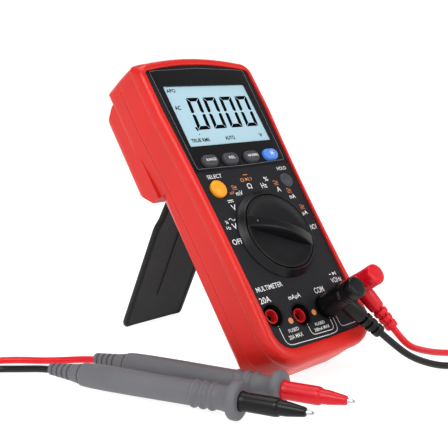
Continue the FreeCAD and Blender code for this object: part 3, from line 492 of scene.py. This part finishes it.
def front_shell():
    """Rounded red rim from the panel's edge over the bullnose to the parting line.
    bullnose and side are (inset, z); the side has a fine groove under the bullnose."""
    rings = [between_ring(0.0, 0.0, z) for z in (-2.2, 0.3, 0.75)]
    rings += [between_ring(0.06, 3.4, 1.08), between_ring(0.16, 3.4, 1.28),
              between_ring(0.45, 3.4, 1.42), between_ring(0.8, 3.4, 1.4)]
    bullnose = ((3.0, 1.3), (2.3, 1.02), (1.65, 0.55), (1.05, -0.1), (0.6, -0.95),
                (0.28, -2.0), (0.08, -3.3), (0.0, -4.6))
    side = ((0.02, -5.5), (0.16, -5.9), (0.42, -6.1), (0.62, -6.5), (0.62, -7.4), (0.5, -9.5),
            (0.3, -13.0), (0.12, -16.5), (0.03, -18.6), (0.03, -19.75), (0.12, -19.93),
            (0.3, -19.99), (2.4, -19.99), (2.4, -6.0))
    rings += [case_ring(inset, z) for inset, z in bullnose + side]
    verts, faces = loft([list(reversed(r)) for r in rings])
    piece("front_shell", verts, faces, "case_red", replaces=("front_housing",), sharp=50)


front_shell()


def rounded(points, radii, steps=5):
    """A polygon with each corner replaced by a smooth bend; steps points a corner."""
    result, count = [], len(points)
    for i, (point, radius) in enumerate(zip(points, radii)):
        here = Vector(point)
        before, after = Vector(points[i - 1]) - here, Vector(points[(i + 1) % count]) - here
        reach = min(radius, before.length * 0.49, after.length * 0.49)
        start, end = here + before.normalized() * reach, here + after.normalized() * reach
        for k in range(steps + 1):
            t = k / steps
            result.append(tuple(start * (1 - t) ** 2 + here * 2 * t * (1 - t) + end * t * t))
    return result


def plate(half, low, high, radius, rings_at):
    """A rounded rectangle across the face, through (inset, z) rings, closed at both ends."""
    outline = rounded([(-half, low), (half, low), (half, high), (-half, high)], [radius] * 4, 6)
    return loft([inset_ring(outline, inset, z) for inset, z in rings_at], True, True)


# ---------------------------------------------------------------- stand

SPLAY = math.radians(26.8)
STAND = (Matrix.Translation(JOINTS["stand_fold"]["pos_m"])
         @ Matrix.Rotation(math.pi / 2 + SPLAY, 4, "X") @ Matrix.Scale(MM, 4))


def stand_leg():
    """Moulded leg: rounded edges, a sunk field inside a rim, and one fine rib along it."""
    length, neck, half, shoulder = 110.9, 20.5, 23.5, 22.0
    right = [(half, -length), (half, -shoulder - 8.0), (neck + 1.2, -shoulder - 3.0),
             (neck, -shoulder / 2), (neck, -1.0)]
    bends = [6.5, 4.0, 4.0, 6.0, 1.0]
    outline = rounded(right + [(-x, y) for x, y in reversed(right)], bends + bends[::-1])
    count = len(outline)
    edge = ((0.0, 1.3), (0.3, 1.9), (0.9, 2.2), (2.2, 2.2), (2.6, 2.1), (2.9, 1.6), (3.3, 1.5))
    rings = [inset_ring(outline, inset, -z) for inset, z in reversed(edge)]
    rings += [inset_ring(outline, inset, z) for inset, z in edge]
    verts, faces = loft(rings)
    for first in (0, (len(rings) - 1) * count):
        faces += [(first + i, first + i + 1, first + count - 2 - i, first + count - 1 - i)
                  for i in range(count // 2 - 1)]
    rib_at = Matrix.Translation((-4.0, 0, 0))
    rib = moved(plate(0.55, -86.0, -18.0, 0.4, ((0, 1.2), (0.05, 1.75), (0.25, 1.95))), rib_at)
    barrel = lathe([(1.6, -20.5), (3.1, -20.5), (3.4, -20.1), (3.4, 20.1), (3.1, 20.5),
                    (1.6, 20.5)], count=32)
    across = Matrix.Rotation(math.pi / 2, 4, "Y")
    verts, faces = merge((verts, faces), rib, moved(barrel, across))
    world = [STAND @ Vector(v) for v in verts]
    world = [(p.x, p.y, max(p.z, 0.0)) for p in world]
    piece("stand_moulding", world, faces, "stand_black", body="stand",
          replaces=("stand_leg",), place=Matrix.Identity(4))


stand_leg()


# ---------------------------------------------------------------- face

def bezel():
    """Glossy insert with an arched top; its thin light edge follows it all round."""
    right = (straight((0, 103.6), (31.5, 104.2), 10)
             + rounded([(31.5, 104.2), (34.2, 104.3), (34.9, 112.0)], [0.1, 1.6, 0.1], 5)[6:12]
             + straight((34.6, 108.0), (36.4, 165.8), 14)
             + rounded([(36.4, 165.8), (36.55, 168.6), (32.0, 169.3)], [0.1, 2.6, 0.1], 6)[7:14]
             + straight((30.6, 169.3), (0, 170.7), 10) + [(0, 170.7)])
    outline = both_sides(right)[:-1]
    low, high = on_face("lcd_lens")
    window = plate(high[0], low[1], high[1], 0.6, ((0.0, -0.7),))[0]
    margin, lip = -2.4, (0.5, 0.4)
    profile = ((margin, -0.05), (0, -0.04), (0.0, 0.2), (0.2, 0.36), lip)
    verts, faces = loft([inset_ring(outline, inset, z) for inset, z in profile])
    piece("bezel_insert", *fill_between(verts, faces, inset_ring(outline, *lip), window),
          "bezel_black", replaces=("display_bezel",))
    profile = ((0.18, 0.36), (0.2, 0.43), (0.42, 0.44), (0.46, 0.38))
    edge = loft([inset_ring(outline, inset, z) for inset, z in profile])
    piece("bezel_edge", *edge, "line_grey", slot="bezel_black")


def fill_between(verts, faces, outer, window):
    """Closes a plate from its outer ring to a window, with a wall down into the window."""
    form = bmesh.new()
    rim = [form.verts.new(p) for p in outer]
    hole = [form.verts.new((x, y, outer[0][2])) for x, y, _ in window]
    for loop in (rim, hole):
        for a, b in zip(loop, loop[1:] + loop[:1]):
            form.edges.new((a, b))
    bmesh.ops.triangle_fill(form, use_beauty=True, edges=form.edges[:])
    form.verts.index_update()
    cover = ([tuple(v.co) for v in form.verts], [tuple(v.index for v in f.verts)
                                                for f in form.faces])
    form.free()
    depth = [[(x, y, z) for x, y, _ in window] for z in (outer[0][2], -0.9)]
    return merge((verts, faces), cover, loft(depth))


PRINT_TOP = 0.035     # the marks on the panel
INK_TOP = -0.27       # the figures on the display's glass
KEY_PRINT_TOP = 3.0   # the signs on the oval keys


def stroke(points, width):
    """A line of even width as one quad for each run."""
    quads = []
    for (ax, ay), (bx, by) in zip(points, points[1:]):
        length = math.hypot(bx - ax, by - ay) or 1.0
        nx, ny = -(by - ay) / length * width / 2, (bx - ax) / length * width / 2
        ex, ey = (bx - ax) / length * width * 0.2, (by - ay) / length * width * 0.2
        quads.append([(ax + nx - ex, ay + ny - ey), (ax - nx - ex, ay - ny - ey),
                      (bx - nx + ex, by - ny + ey), (bx + nx + ex, by + ny + ey)])
    return quads


def words(entries, weight):
    """Letters as flat faces: (text, x, y, width, height), each centred on x, y."""
    verts, faces = [], []
    for text, x, y, width, height in entries:
        curve = bpy.data.curves.new("word", "FONT")
        curve.body, curve.size, curve.resolution_u, curve.offset = text, 1.0, 3, weight
        holder = bpy.data.objects.new("word", curve)
        mesh = bpy.data.meshes.new_from_object(holder)
        xs, ys = [v.co.x for v in mesh.vertices], [v.co.y for v in mesh.vertices]
        cx, cy = (min(xs) + max(xs)) / 2, (min(ys) + max(ys)) / 2
        sx, sy = width / (max(xs) - min(xs)), height / (max(ys) - min(ys))
        faces += [tuple(len(verts) + i for i in face.vertices) for face in mesh.polygons]
        verts += [(x + (v.co.x - cx) * sx, y + (v.co.y - cy) * sy) for v in mesh.vertices]
        bpy.data.objects.remove(holder)
        bpy.data.curves.remove(curve)
        bpy.data.meshes.remove(mesh)
    return verts, faces


def printed(name, entries, finish, z, shapes=(), body=BODY, slot=None, weight=0.012):
    """Flat marks at height z: words, and shapes that are closed outlines of (x, y)."""
    verts, faces = words(entries, weight)
    for shape in shapes:
        faces.append(tuple(range(len(verts), len(verts) + len(shape))))
        verts += shape
    piece(name, [(x, y, z) for x, y in verts], faces, finish, body=body, slot=slot,
          smooth=False)


def wave(x, y, width, height, line):
    """The alternating-current sign."""
    points = [(x - width / 2 + width * k / 12, y + height * math.sin(2 * math.pi * k / 12))
              for k in range(13)]
    return stroke(points, line)


def direct(x, y, width, line):
    """The direct-current sign: a full line over a broken one."""
    quads = stroke([(x - width / 2, y + 0.55), (x + width / 2, y + 0.55)], line)
    for k in (-1, 0, 1):
        quads += stroke([(x + k * width * 0.37 - width * 0.1, y - 0.5),
                         (x + k * width * 0.37 + width * 0.1, y - 0.5)], line)
    return quads


def disc(x, y, radius, count=24):
    return [(x + radius * math.cos(2 * math.pi * k / count),
             y + radius * math.sin(2 * math.pi * k / count)) for k in range(count)]


def face_marks():
    """The switch positions, jack names and ruled brackets, in plain letters.
    Each entry is a text, its middle x and y, and its width and height, in mm."""
    white = [("OFF", -29.3, 60.0, 7.4, 3.3), ("V", -26.4, 68.7, 3.6, 3.5),
             ("Hz", -31.0, 68.4, 3.0, 1.9), ("%", -30.6, 71.7, 2.2, 1.9),
             ("V", -21.0, 79.5, 3.6, 3.5), ("mV", -12.4, 87.4, 5.2, 3.0),
             ("\u03a9", -2.6, 90.8, 3.6, 3.3), ("Hz", 8.4, 89.9, 4.4, 3.3),
             ("%", 12.2, 93.7, 3.2, 2.9), ("A", 18.3, 86.2, 3.3, 3.3),
             ("mA", 26.3, 80.5, 4.8, 2.9), ("\u00b5A", 29.8, 68.9, 4.4, 3.2),
             ("NCV", 31.0, 59.6, 5.6, 3.1), ("SELECT", -24.5, 99.3, 10.6, 2.5),
             ("HOLD", 28.6, 99.2, 7.6, 2.3), ("20A", -29.3, 25.8, 7.6, 3.5),
             ("mA\u00b5A", -8.4, 23.2, 9.4, 3.3), ("COM", 11.4, 23.2, 7.6, 3.5),
             ("V\u03a9Hz", 28.2, 26.2, 8.8, 3.0), ("MULTIMETER", -22.4, 31.9, 19.4, 2.8),
             ("FUSED", -19.5, 6.7, 7.6, 1.9), ("20A MAX", -19.9, 3.3, 10.4, 2.3),
             ("FUSED", 0.5, 5.7, 7.4, 1.7), ("200mA MAX", 0.4, 2.9, 12.0, 1.9)]
    lines = wave(-26.2, 72.8, 4.2, 0.75, 0.6) + direct(-21.2, 83.4, 4.0, 0.55)
    lines += stroke([(24.6, 29.9), (26.4, 29.9)], 0.5) + stroke([(30.0, 28.9), (30.0, 31.0)], 0.5)
    lines += [[(27.4, 28.8), (29.6, 29.9), (27.4, 31.0)]]
    lines += stroke(rounded([(-28.6, 11.0), (-28.4, -0.3), (4.0, -1.7), (11.8, -1.3),
                             (11.8, 7.0)], [0.05, 4.5, 0.5, 4.0, 0.05], 6), 0.42)
    lines += stroke(rounded([(-8.5, 7.4), (-8.4, 0.9), (9.2, 0.3), (9.3, 7.2)],
                            [0.05, 3.0, 3.0, 0.05], 6), 0.42)
    lines += stroke(rounded([(14.6, 6.6), (14.7, 0.2), (30.2, 0.4), (30.3, 6.6)],
                            [0.05, 3.0, 3.0, 0.05], 6), 0.42)
    printed("marks_white", white, "print_white", PRINT_TOP, lines, slot="panel_dark")
    orange = [("mV", -17.4, 88.2, 3.4, 2.0), ("\u03a9", -5.9, 95.0, 2.6, 2.2)]
    lines = wave(-14.2, 91.9, 3.4, 0.55, 0.5) + wave(18.4, 91.4, 3.4, 0.55, 0.5)
    lines += direct(18.4, 89.6, 3.4, 0.42) + direct(-14.2, 90.4, 3.4, 0.42)
    lines += wave(25.8, 85.4, 3.2, 0.5, 0.5) + direct(25.8, 83.6, 3.2, 0.42)
    lines += wave(29.8, 73.9, 3.2, 0.5, 0.5) + direct(29.8, 72.2, 3.2, 0.42)
    lines += [[(-3.4, 94.0), (-1.2, 95.1), (-3.4, 96.2)]]
    lines += stroke([(-0.9, 94.0), (-0.9, 96.2)], 0.45)
    lines += stroke([(0.6, 94.1), (1.5, 95.1), (0.6, 96.1)], 0.42)
    lines += stroke([(-3.6, 98.0), (-0.4, 98.0)], 0.45)
    lines += [disc(-18.6, 11.6, 1.7), disc(0.0, 12.2, 1.7)]
    printed("marks_orange", orange, "print_orange", PRINT_TOP, lines, slot="panel_dark")


def digit_zero(cx, cy):
    """The six outer bars of a seven-bar figure, mitred where they meet."""
    half_w, half_h, t, slant, gap = 4.8, 10.6, 2.35, 0.07, 0.28
    bars = [
        [(-half_w + gap, half_h), (half_w - gap, half_h), (half_w - t - gap, half_h - t),
         (-half_w + t + gap, half_h - t)],
        [(-half_w + gap, -half_h), (-half_w + t + gap, -half_h + t),
         (half_w - t - gap, -half_h + t), (half_w - gap, -half_h)]]
    for side in (-1, 1):
        for up in (-1, 1):
            bars.append([(side * half_w, up * (half_h - gap)),
                         (side * half_w, up * (gap + 0.5)),
                         (side * (half_w - t * 0.5), up * (gap * 0.6 + 0.1)),
                         (side * (half_w - t), up * (gap + 1.1)),
                         (side * (half_w - t), up * (half_h - t - gap))])
    return [[(cx + x + slant * y, cy + y) for x, y in bar] for bar in bars]


def display():
    """Pale blue glass with a faint painted glow, with the figures and small signs on its surface.
    """
    low, high = on_face("lcd_lens")
    verts, faces = plate(high[0], low[1], high[1], 0.5, ((0, low[2]), (0, -0.45),
                                                        (0.12, -0.32), (0.3, -0.3)))
    piece("lcd_glass", verts, faces, "lens_clear", replaces=("lcd_lens",))
    bars = []
    for x in (-14.4, -1.9, 10.8, 23.5):
        bars += digit_zero(x, 139.8)
    bars += [[(-21.6, 130.9), (-20.2, 131.2), (-20.0, 128.6), (-21.0, 128.6)]]
    bars += [[(-20.9, 126.6), (-20.3, 126.6), (-20.3, 126.0), (-20.9, 126.0)]]
    printed("lcd_figures", (), "lcd_ink", INK_TOP, bars, slot="lcd_blue")
    signs = [("APO", -26.6, 155.6, 6.6, 2.4), ("AC", -27.2, 144.2, 4.2, 2.7),
             ("TRUE RMS", -21.8, 122.6, 13.4, 2.4), ("AUTO", 0.6, 122.6, 7.4, 2.5),
             ("V", 25.6, 122.8, 2.6, 2.6)]
    printed("lcd_signs", signs, "lcd_ink", INK_TOP, slot="lcd_blue", weight=0.02)


bezel()
display()
face_marks()


# ---------------------------------------------------------------- buttons

OVAL_ROW = middle("key_range")[1]


def oval_cap(name, x, finish):
    """An oval key with straight sides and a softly rounded top."""
    y, reach, radius = OVAL_ROW, 2.0, 3.7

    def ring(inset, z):
        r = radius - inset
        right = [(x + reach + r * math.cos(a), y + r * math.sin(a), z)
                 for a in [math.radians(-90 + 15 * k) for k in range(13)]]
        left = [(x - reach + r * math.cos(a), y + r * math.sin(a), z)
                for a in [math.radians(90 + 15 * k) for k in range(13)]]
        return right + left
    rings = [ring(i, z) for i, z in ((0.0, -5.0), (0.0, 0.4), (0.06, 1.3), (0.2, 1.9),
                                     (0.45, 2.35), (0.8, 2.62), (1.3, 2.8), (2.0, 2.9),
                                     (2.8, 2.95), (3.5, 2.97))]
    piece(f"cap_{name}", *loft(rings, cap_end=True), finish, body=f"key_{name}",
          replaces=(f"key_{name}",))


def round_cap(name, radius, finish):
    """A domed round key as high as its CAD node."""
    x, y = middle(f"key_{name}")
    top, crown = on_face(f"key_{name}")[1][2], 1.5
    profile = [(radius, -5.0), (radius, top - crown - 0.3), (radius - 0.08, top - crown)]
    for k in range(1, 9):
        a = math.radians(11.25 * k)
        profile.append((radius * (math.cos(a) * 0.55 + 0.45 * (1 - k / 8)),
                        top - crown + crown * math.sin(a)))
    profile[-1] = (0.15, top)
    piece(f"cap_{name}", *lathe(profile, x, y, 48, cap_end=True), finish, body=f"key_{name}",
          replaces=(f"key_{name}",))


def light_sign(x, y):
    """A small sun: a disc and eight rays."""
    shapes = [disc(x, y, 0.8, 16)]
    for k in range(8):
        a = k * math.pi / 4
        shapes += stroke([(x + r * math.cos(a), y + r * math.sin(a)) for r in (1.25, 2.0)], 0.3)
    return shapes


for name, finish, sign, width in (("range", "key_grey", "RANGE", 7.2),
                                  ("rel", "key_grey", "REL", 4.8),
                                  ("max_min", "key_grey", "MAXMIN", 8.0),
                                  ("light", "key_blue", "", 0)):
    key_x = middle(f"key_{name}")[0]
    oval_cap(name, key_x, finish)
    letters = [(sign, key_x, OVAL_ROW, width, 1.75)] if sign else []
    printed(f"sign_{name}", letters, "print_white", KEY_PRINT_TOP,
            () if sign else light_sign(key_x, OVAL_ROW), body=f"key_{name}", slot=finish)
round_cap("select", 5.2, "key_yellow")
round_cap("hold", 4.8, "key_grey")


# ---------------------------------------------------------------- rotary switch

POINTER = math.radians(155.0)
KNOB = METER @ Matrix.Translation((0, KNOB_Y, 0)) @ Matrix.Rotation(POINTER - math.pi, 4, "Z")


def knob():
    """Flared skirt, fine groove, shallow dial and the arched grip bar with its dot."""
    dial = lathe([(26.4, 0.2), (26.5, 0.45), (26.3, 0.8), (25.8, 1.3), (25.1, 2.1),
                  (24.4, 3.0), (23.9, 3.7), (23.6, 4.1), (23.25, 4.2), (22.98, 4.05),
                  (22.85, 3.5), (22.8, 2.9), (22.4, 2.9), (22.35, 3.5), (22.25, 4.1),
                  (21.95, 4.32), (21.4, 4.3), (20.5, 4.12), (19.2, 3.8), (17.5, 3.5),
                  (15.0, 3.32), (10.0, 3.25), (0.3, 3.25)], count=144, cap_end=True)
    rings, reach, steps, low, rise = [], 22.3, 64, 4.25, 5.2
    for k in range(steps + 1):
        x = -reach + 2 * reach * k / steps
        top = low + rise * (1 - (x / reach) ** 2)
        lean = 1.2 * (top - low) / rise
        side = [(3.8, 3.0), (3.78, 3.5), (3.75 - lean * 0.5, (top + 3.5) / 2),
                (3.7 - lean, top - 0.5), (3.55 - lean, top - 0.24), (3.2 - lean, top - 0.08),
                (2.7 - lean, top - 0.02), (1.2, top)]
        limit = math.sqrt(max((reach + 0.2) ** 2 - x ** 2, 0.01))
        side = [(min(y, limit), z) for y, z in side]
        rings.append([(x, -y, z) for y, z in side] + [(x, y, z) for y, z in reversed(side)])
    bar = loft(rings, True, True, closed=False)
    dot_at = -16.8
    crest = low + rise * (1 - (dot_at / reach) ** 2)
    dot = lathe([(0.55, crest - 0.4), (0.55, crest), (0.4, crest + 0.1), (0.1, crest + 0.12)],
                dot_at, 0, 20, cap_end=True)
    piece("knob_moulding", *merge(dial, bar), "knob_black", body="selector",
          replaces=("knob",), place=KNOB, sharp=50)
    piece("knob_dot", *dot, "line_grey", body="selector", slot="knob_black", place=KNOB)


knob()


# ---------------------------------------------------------------- jacks

def jack_details():
    """A raised rim round each well, and the red sleeve inside it."""
    rims, sleeves = [], []
    for x, y in JACKS.values():
        rims.append(lathe([(6.15, -5.0), (6.15, -0.5), (6.25, -0.15), (6.5, 0.06),
                           (6.9, 0.12), (7.2, 0.08), (7.3, -0.05)], x, y, 56))
        sleeves.append(lathe([(4.1, -21.8), (4.1, -1.7), (4.02, -1.4), (3.8, -1.24),
                              (3.5, -1.2), (3.2, -1.3), (3.0, -1.7), (2.75, -3.0),
                              (2.35, -4.2), (2.3, -6.0)], x, y, 48))
    piece("jack_rims", *merge(*rims), "block_black")
    piece("jack_collars", *merge(*sleeves), "sleeve_red", replaces=("jack_sleeves",))


jack_details()


# ---------------------------------------------------------------- cords on their pieces

def turned(name, profile, finish, place, replaces, slot=None, count=48):
    """A turned piece, closed at both ends."""
    return piece(name, *lathe(profile, count=count, cap_start=True, cap_end=True), finish,
                 replaces=replaces, slot=slot, place=place)


def probe_handle(colour):
    """Soft grey handle: ribbed boot, seam, long grip, three rings and the finger flange."""
    profile = [(2.0, -21.0), (2.9, -20.9), (3.2, -20.4), (3.3, -19.6)]
    for k in range(4):
        z = -18.6 + 3.6 * k
        radius = 3.35 + 0.34 * k
        profile += [(radius, z), (radius - 0.75, z + 0.35), (radius - 0.75, z + 0.95),
                    (radius + 0.1, z + 1.3)]
    profile += [(5.0, -3.0), (5.35, -0.9), (5.4, -0.35), (4.9, -0.2), (4.9, 0.2), (5.6, 0.35),
                (6.0, 0.8), (6.2, 2.5), (6.45, 8), (6.55, 16), (6.5, 34), (6.3, 52), (6.2, 64)]
    for z in (67.0, 72.0, 77.0):
        profile += [(6.2, z), (6.75, z + 0.5), (6.95, z + 1.3), (6.75, z + 2.1), (6.2, z + 2.6),
                    (5.95, z + 3.3)]
    profile += [(6.0, 83.5), (6.5, 86.0), (7.6, 87.6), (8.9, 88.2), (9.4, 88.8), (9.6, 89.8),
                (9.6, 91.6), (9.3, 92.5), (8.6, 93.0), (5.0, 93.0)]
    return turned(f"probe_grip_{colour}", profile, "probe_grey", probe_frame(colour),
                  (f"probe_handle_{colour}",), count=56)


def probe_front(colour):
    """Insulated barrel with a step and a cone."""
    profile = [(4.0, 92.6), (4.9, 93.0), (5.0, 93.8), (4.75, 94.4), (4.6, 96), (4.6, 110.6),
               (4.45, 112.2), (4.1, 112.9), (3.75, 113.1), (3.65, 114.0), (3.5, 117.0),
               (2.4, 124.6), (2.1, 125.7), (1.6, 126.0), (0.9, 126.0)]
    return turned(f"probe_nose_{colour}", profile, f"plug_{colour}", probe_frame(colour),
                  (f"probe_barrel_{colour}",), slot=f"lead_{colour}")


def probe_tip(colour):
    """The bare steel point."""
    profile = [(0.98, 124.0), (0.98, 128.3), (0.8, 129.0), (0.45, 129.7), (0.15, 130.0)]
    return turned(f"probe_point_{colour}", profile, "tip_steel", probe_frame(colour),
                  (f"probe_tip_{colour}",), count=24)


def plug_body(colour):
    """Flat-topped cap with three grip grooves and a nub, and a boot out of its side with a
    slotted strain relief and a collar."""
    cap = [(5.6, -15.0), (5.6, 1.0), (5.8, 1.9), (6.1, 2.5), (6.2, 3.6), (6.1, 12.0),
           (5.8, 17.0)]
    for z in (17.4, 19.4, 21.4):
        cap += [(5.8, z), (5.3, z + 0.25), (5.25, z + 0.7), (5.8, z + 1.0)]
    cap += [(5.85, 23.0), (5.85, 25.9), (5.65, 26.7), (5.2, 27.2), (4.4, 27.42), (2.2, 27.5),
            (0.3, 27.5)]
    body = lathe(cap, cap_start=True, cap_end=True, count=64)
    boot = [(3.9, 0.0), (4.5, 5.0), (4.6, 8.0), (4.5, 12.0), (4.2, 15.6), (4.0, 16.4)]
    slot_radius = 2.5
    for k in range(3):
        z = 16.5 + 4.2 * k
        radius = 3.95 - 0.2 * k
        boot += [(radius, z), (slot_radius, z + 0.25), (slot_radius, z + 1.35),
                 (radius + 0.1, z + 1.6), (radius + 0.05, z + 4.0)]
    boot += [(3.5, 29.2), (3.3, 29.8), (2.9, 30.0), (1.5, 30.0)]

    def ribbed(radius, angle):
        """The slots leave a rib on each side."""
        if radius == slot_radius and abs(math.sin(angle)) < 0.3:
            return 3.5
        return radius
    relief = lathe(boot, cap_start=True, cap_end=True, count=64, shape=ribbed)
    side = Matrix.Translation((0, 0, PLUG_AXIS)) @ Matrix.Rotation(math.pi / 2, 4, "Y")
    nub = lathe([(2.2, 0), (2.15, 0.5), (1.7, 1.0), (0.9, 1.25), (0.2, 1.3)], cap_end=True,
                count=24)
    nub_at = (Matrix.Rotation(math.radians(-128), 4, "Z") @ Matrix.Translation((5.6, 0, 16.6))
              @ Matrix.Rotation(math.pi / 2, 4, "Y"))
    shape = merge(body, moved(relief, side), moved(nub, nub_at))
    return piece(f"plug_moulding_{colour}", *shape, f"plug_{colour}",
                 place=plug_frame(colour), replaces=(f"plug_{colour}",), slot=f"lead_{colour}")


for colour, lead in LEADS.items():
    lead.data.materials.append(MAT[f"lead_{colour}"])
    on_lead = [plug_body(colour), probe_handle(colour), probe_front(colour), probe_tip(colour)]
    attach(lead, BODY)
    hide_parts(f"lead_{colour}_plug_side", f"coil_{colour}",
                f"lead_{colour}_probe_side")


# ---------------------------------------------------------------- floor and light

def floor():
    """White paper under the meter; it glows a little, so that it runs into the background."""
    mesh = bpy.data.meshes.new("floor")
    size = 6.0
    mesh.from_pydata([(-size, -size, 0), (size, -size, 0), (size, size, 0), (-size, size, 0)],
                     [], [(0, 1, 2, 3)])
    paper = material("floor_paper", (235, 235, 235), 0.8, 0.03, 0.01, 300, 0.02, specular=0.0)
    shader = paper.node_tree.nodes["Principled BSDF"]
    paper.node_tree.links.remove(shader.inputs["Base Color"].links[0])
    shader.inputs["Base Color"].default_value = (0.34, 0.34, 0.34, 1)
    shader.inputs["Emission Color"].default_value = (1, 1, 1, 1)
    shader.inputs["Emission Strength"].default_value = 0.87
    mesh.materials.append(paper)
    plane = bpy.data.objects.new("floor", mesh)
    bpy.context.collection.objects.link(plane)


def softbox(name, position, target, size, power):
    """A white rectangular light, in metres and watts, that faces its target."""
    lamp = bpy.data.lights.new(name, "AREA")
    lamp.shape, lamp.size, lamp.size_y = "RECTANGLE", size[0], size[1]
    lamp.energy = power
    light = bpy.data.objects.new(name, lamp)
    light.location = position
    light.rotation_euler = (Vector(target) - Vector(position)).to_track_quat("-Z", "Y").to_euler()
    bpy.context.collection.objects.link(light)


def studio_air():
    """A white room: bright round the horizon, dimmer overhead."""
    world = bpy.data.worlds.new("studio")
    bpy.context.scene.world = world
    world.use_nodes = True
    nodes, links = world.node_tree.nodes, world.node_tree.links
    place, split = nodes.new("ShaderNodeTexCoord"), nodes.new("ShaderNodeSeparateXYZ")
    ramp = nodes.new("ShaderNodeValToRGB")
    ramp.color_ramp.elements[0].position, ramp.color_ramp.elements[1].position = 0.3, 0.55
    ramp.color_ramp.elements[0].color = (1, 1, 1, 1)
    ramp.color_ramp.elements[1].color = (0.32, 0.32, 0.32, 1)
    links.new(place.outputs["Generated"], split.inputs["Vector"])
    links.new(split.outputs["Z"], ramp.inputs["Fac"])
    links.new(ramp.outputs["Color"], nodes["Background"].inputs["Color"])
    nodes["Background"].inputs["Strength"].default_value = 1.05


floor()
studio_air()
softbox("key", (-0.8, -0.3, 0.9), (0, 0, 0.07), (0.6, 0.6), 6.5)
softbox("front", (0.35, -1.1, 0.8), (0, 0, 0.07), (0.8, 0.5), 4.5)
softbox("top", (0.15, 0.35, 1.3), (0, 0, 0.05), (0.9, 0.9), 6)
bpy.context.scene.view_settings.view_transform = "Standard"
bpy.context.scene.view_settings.gamma = 0.87
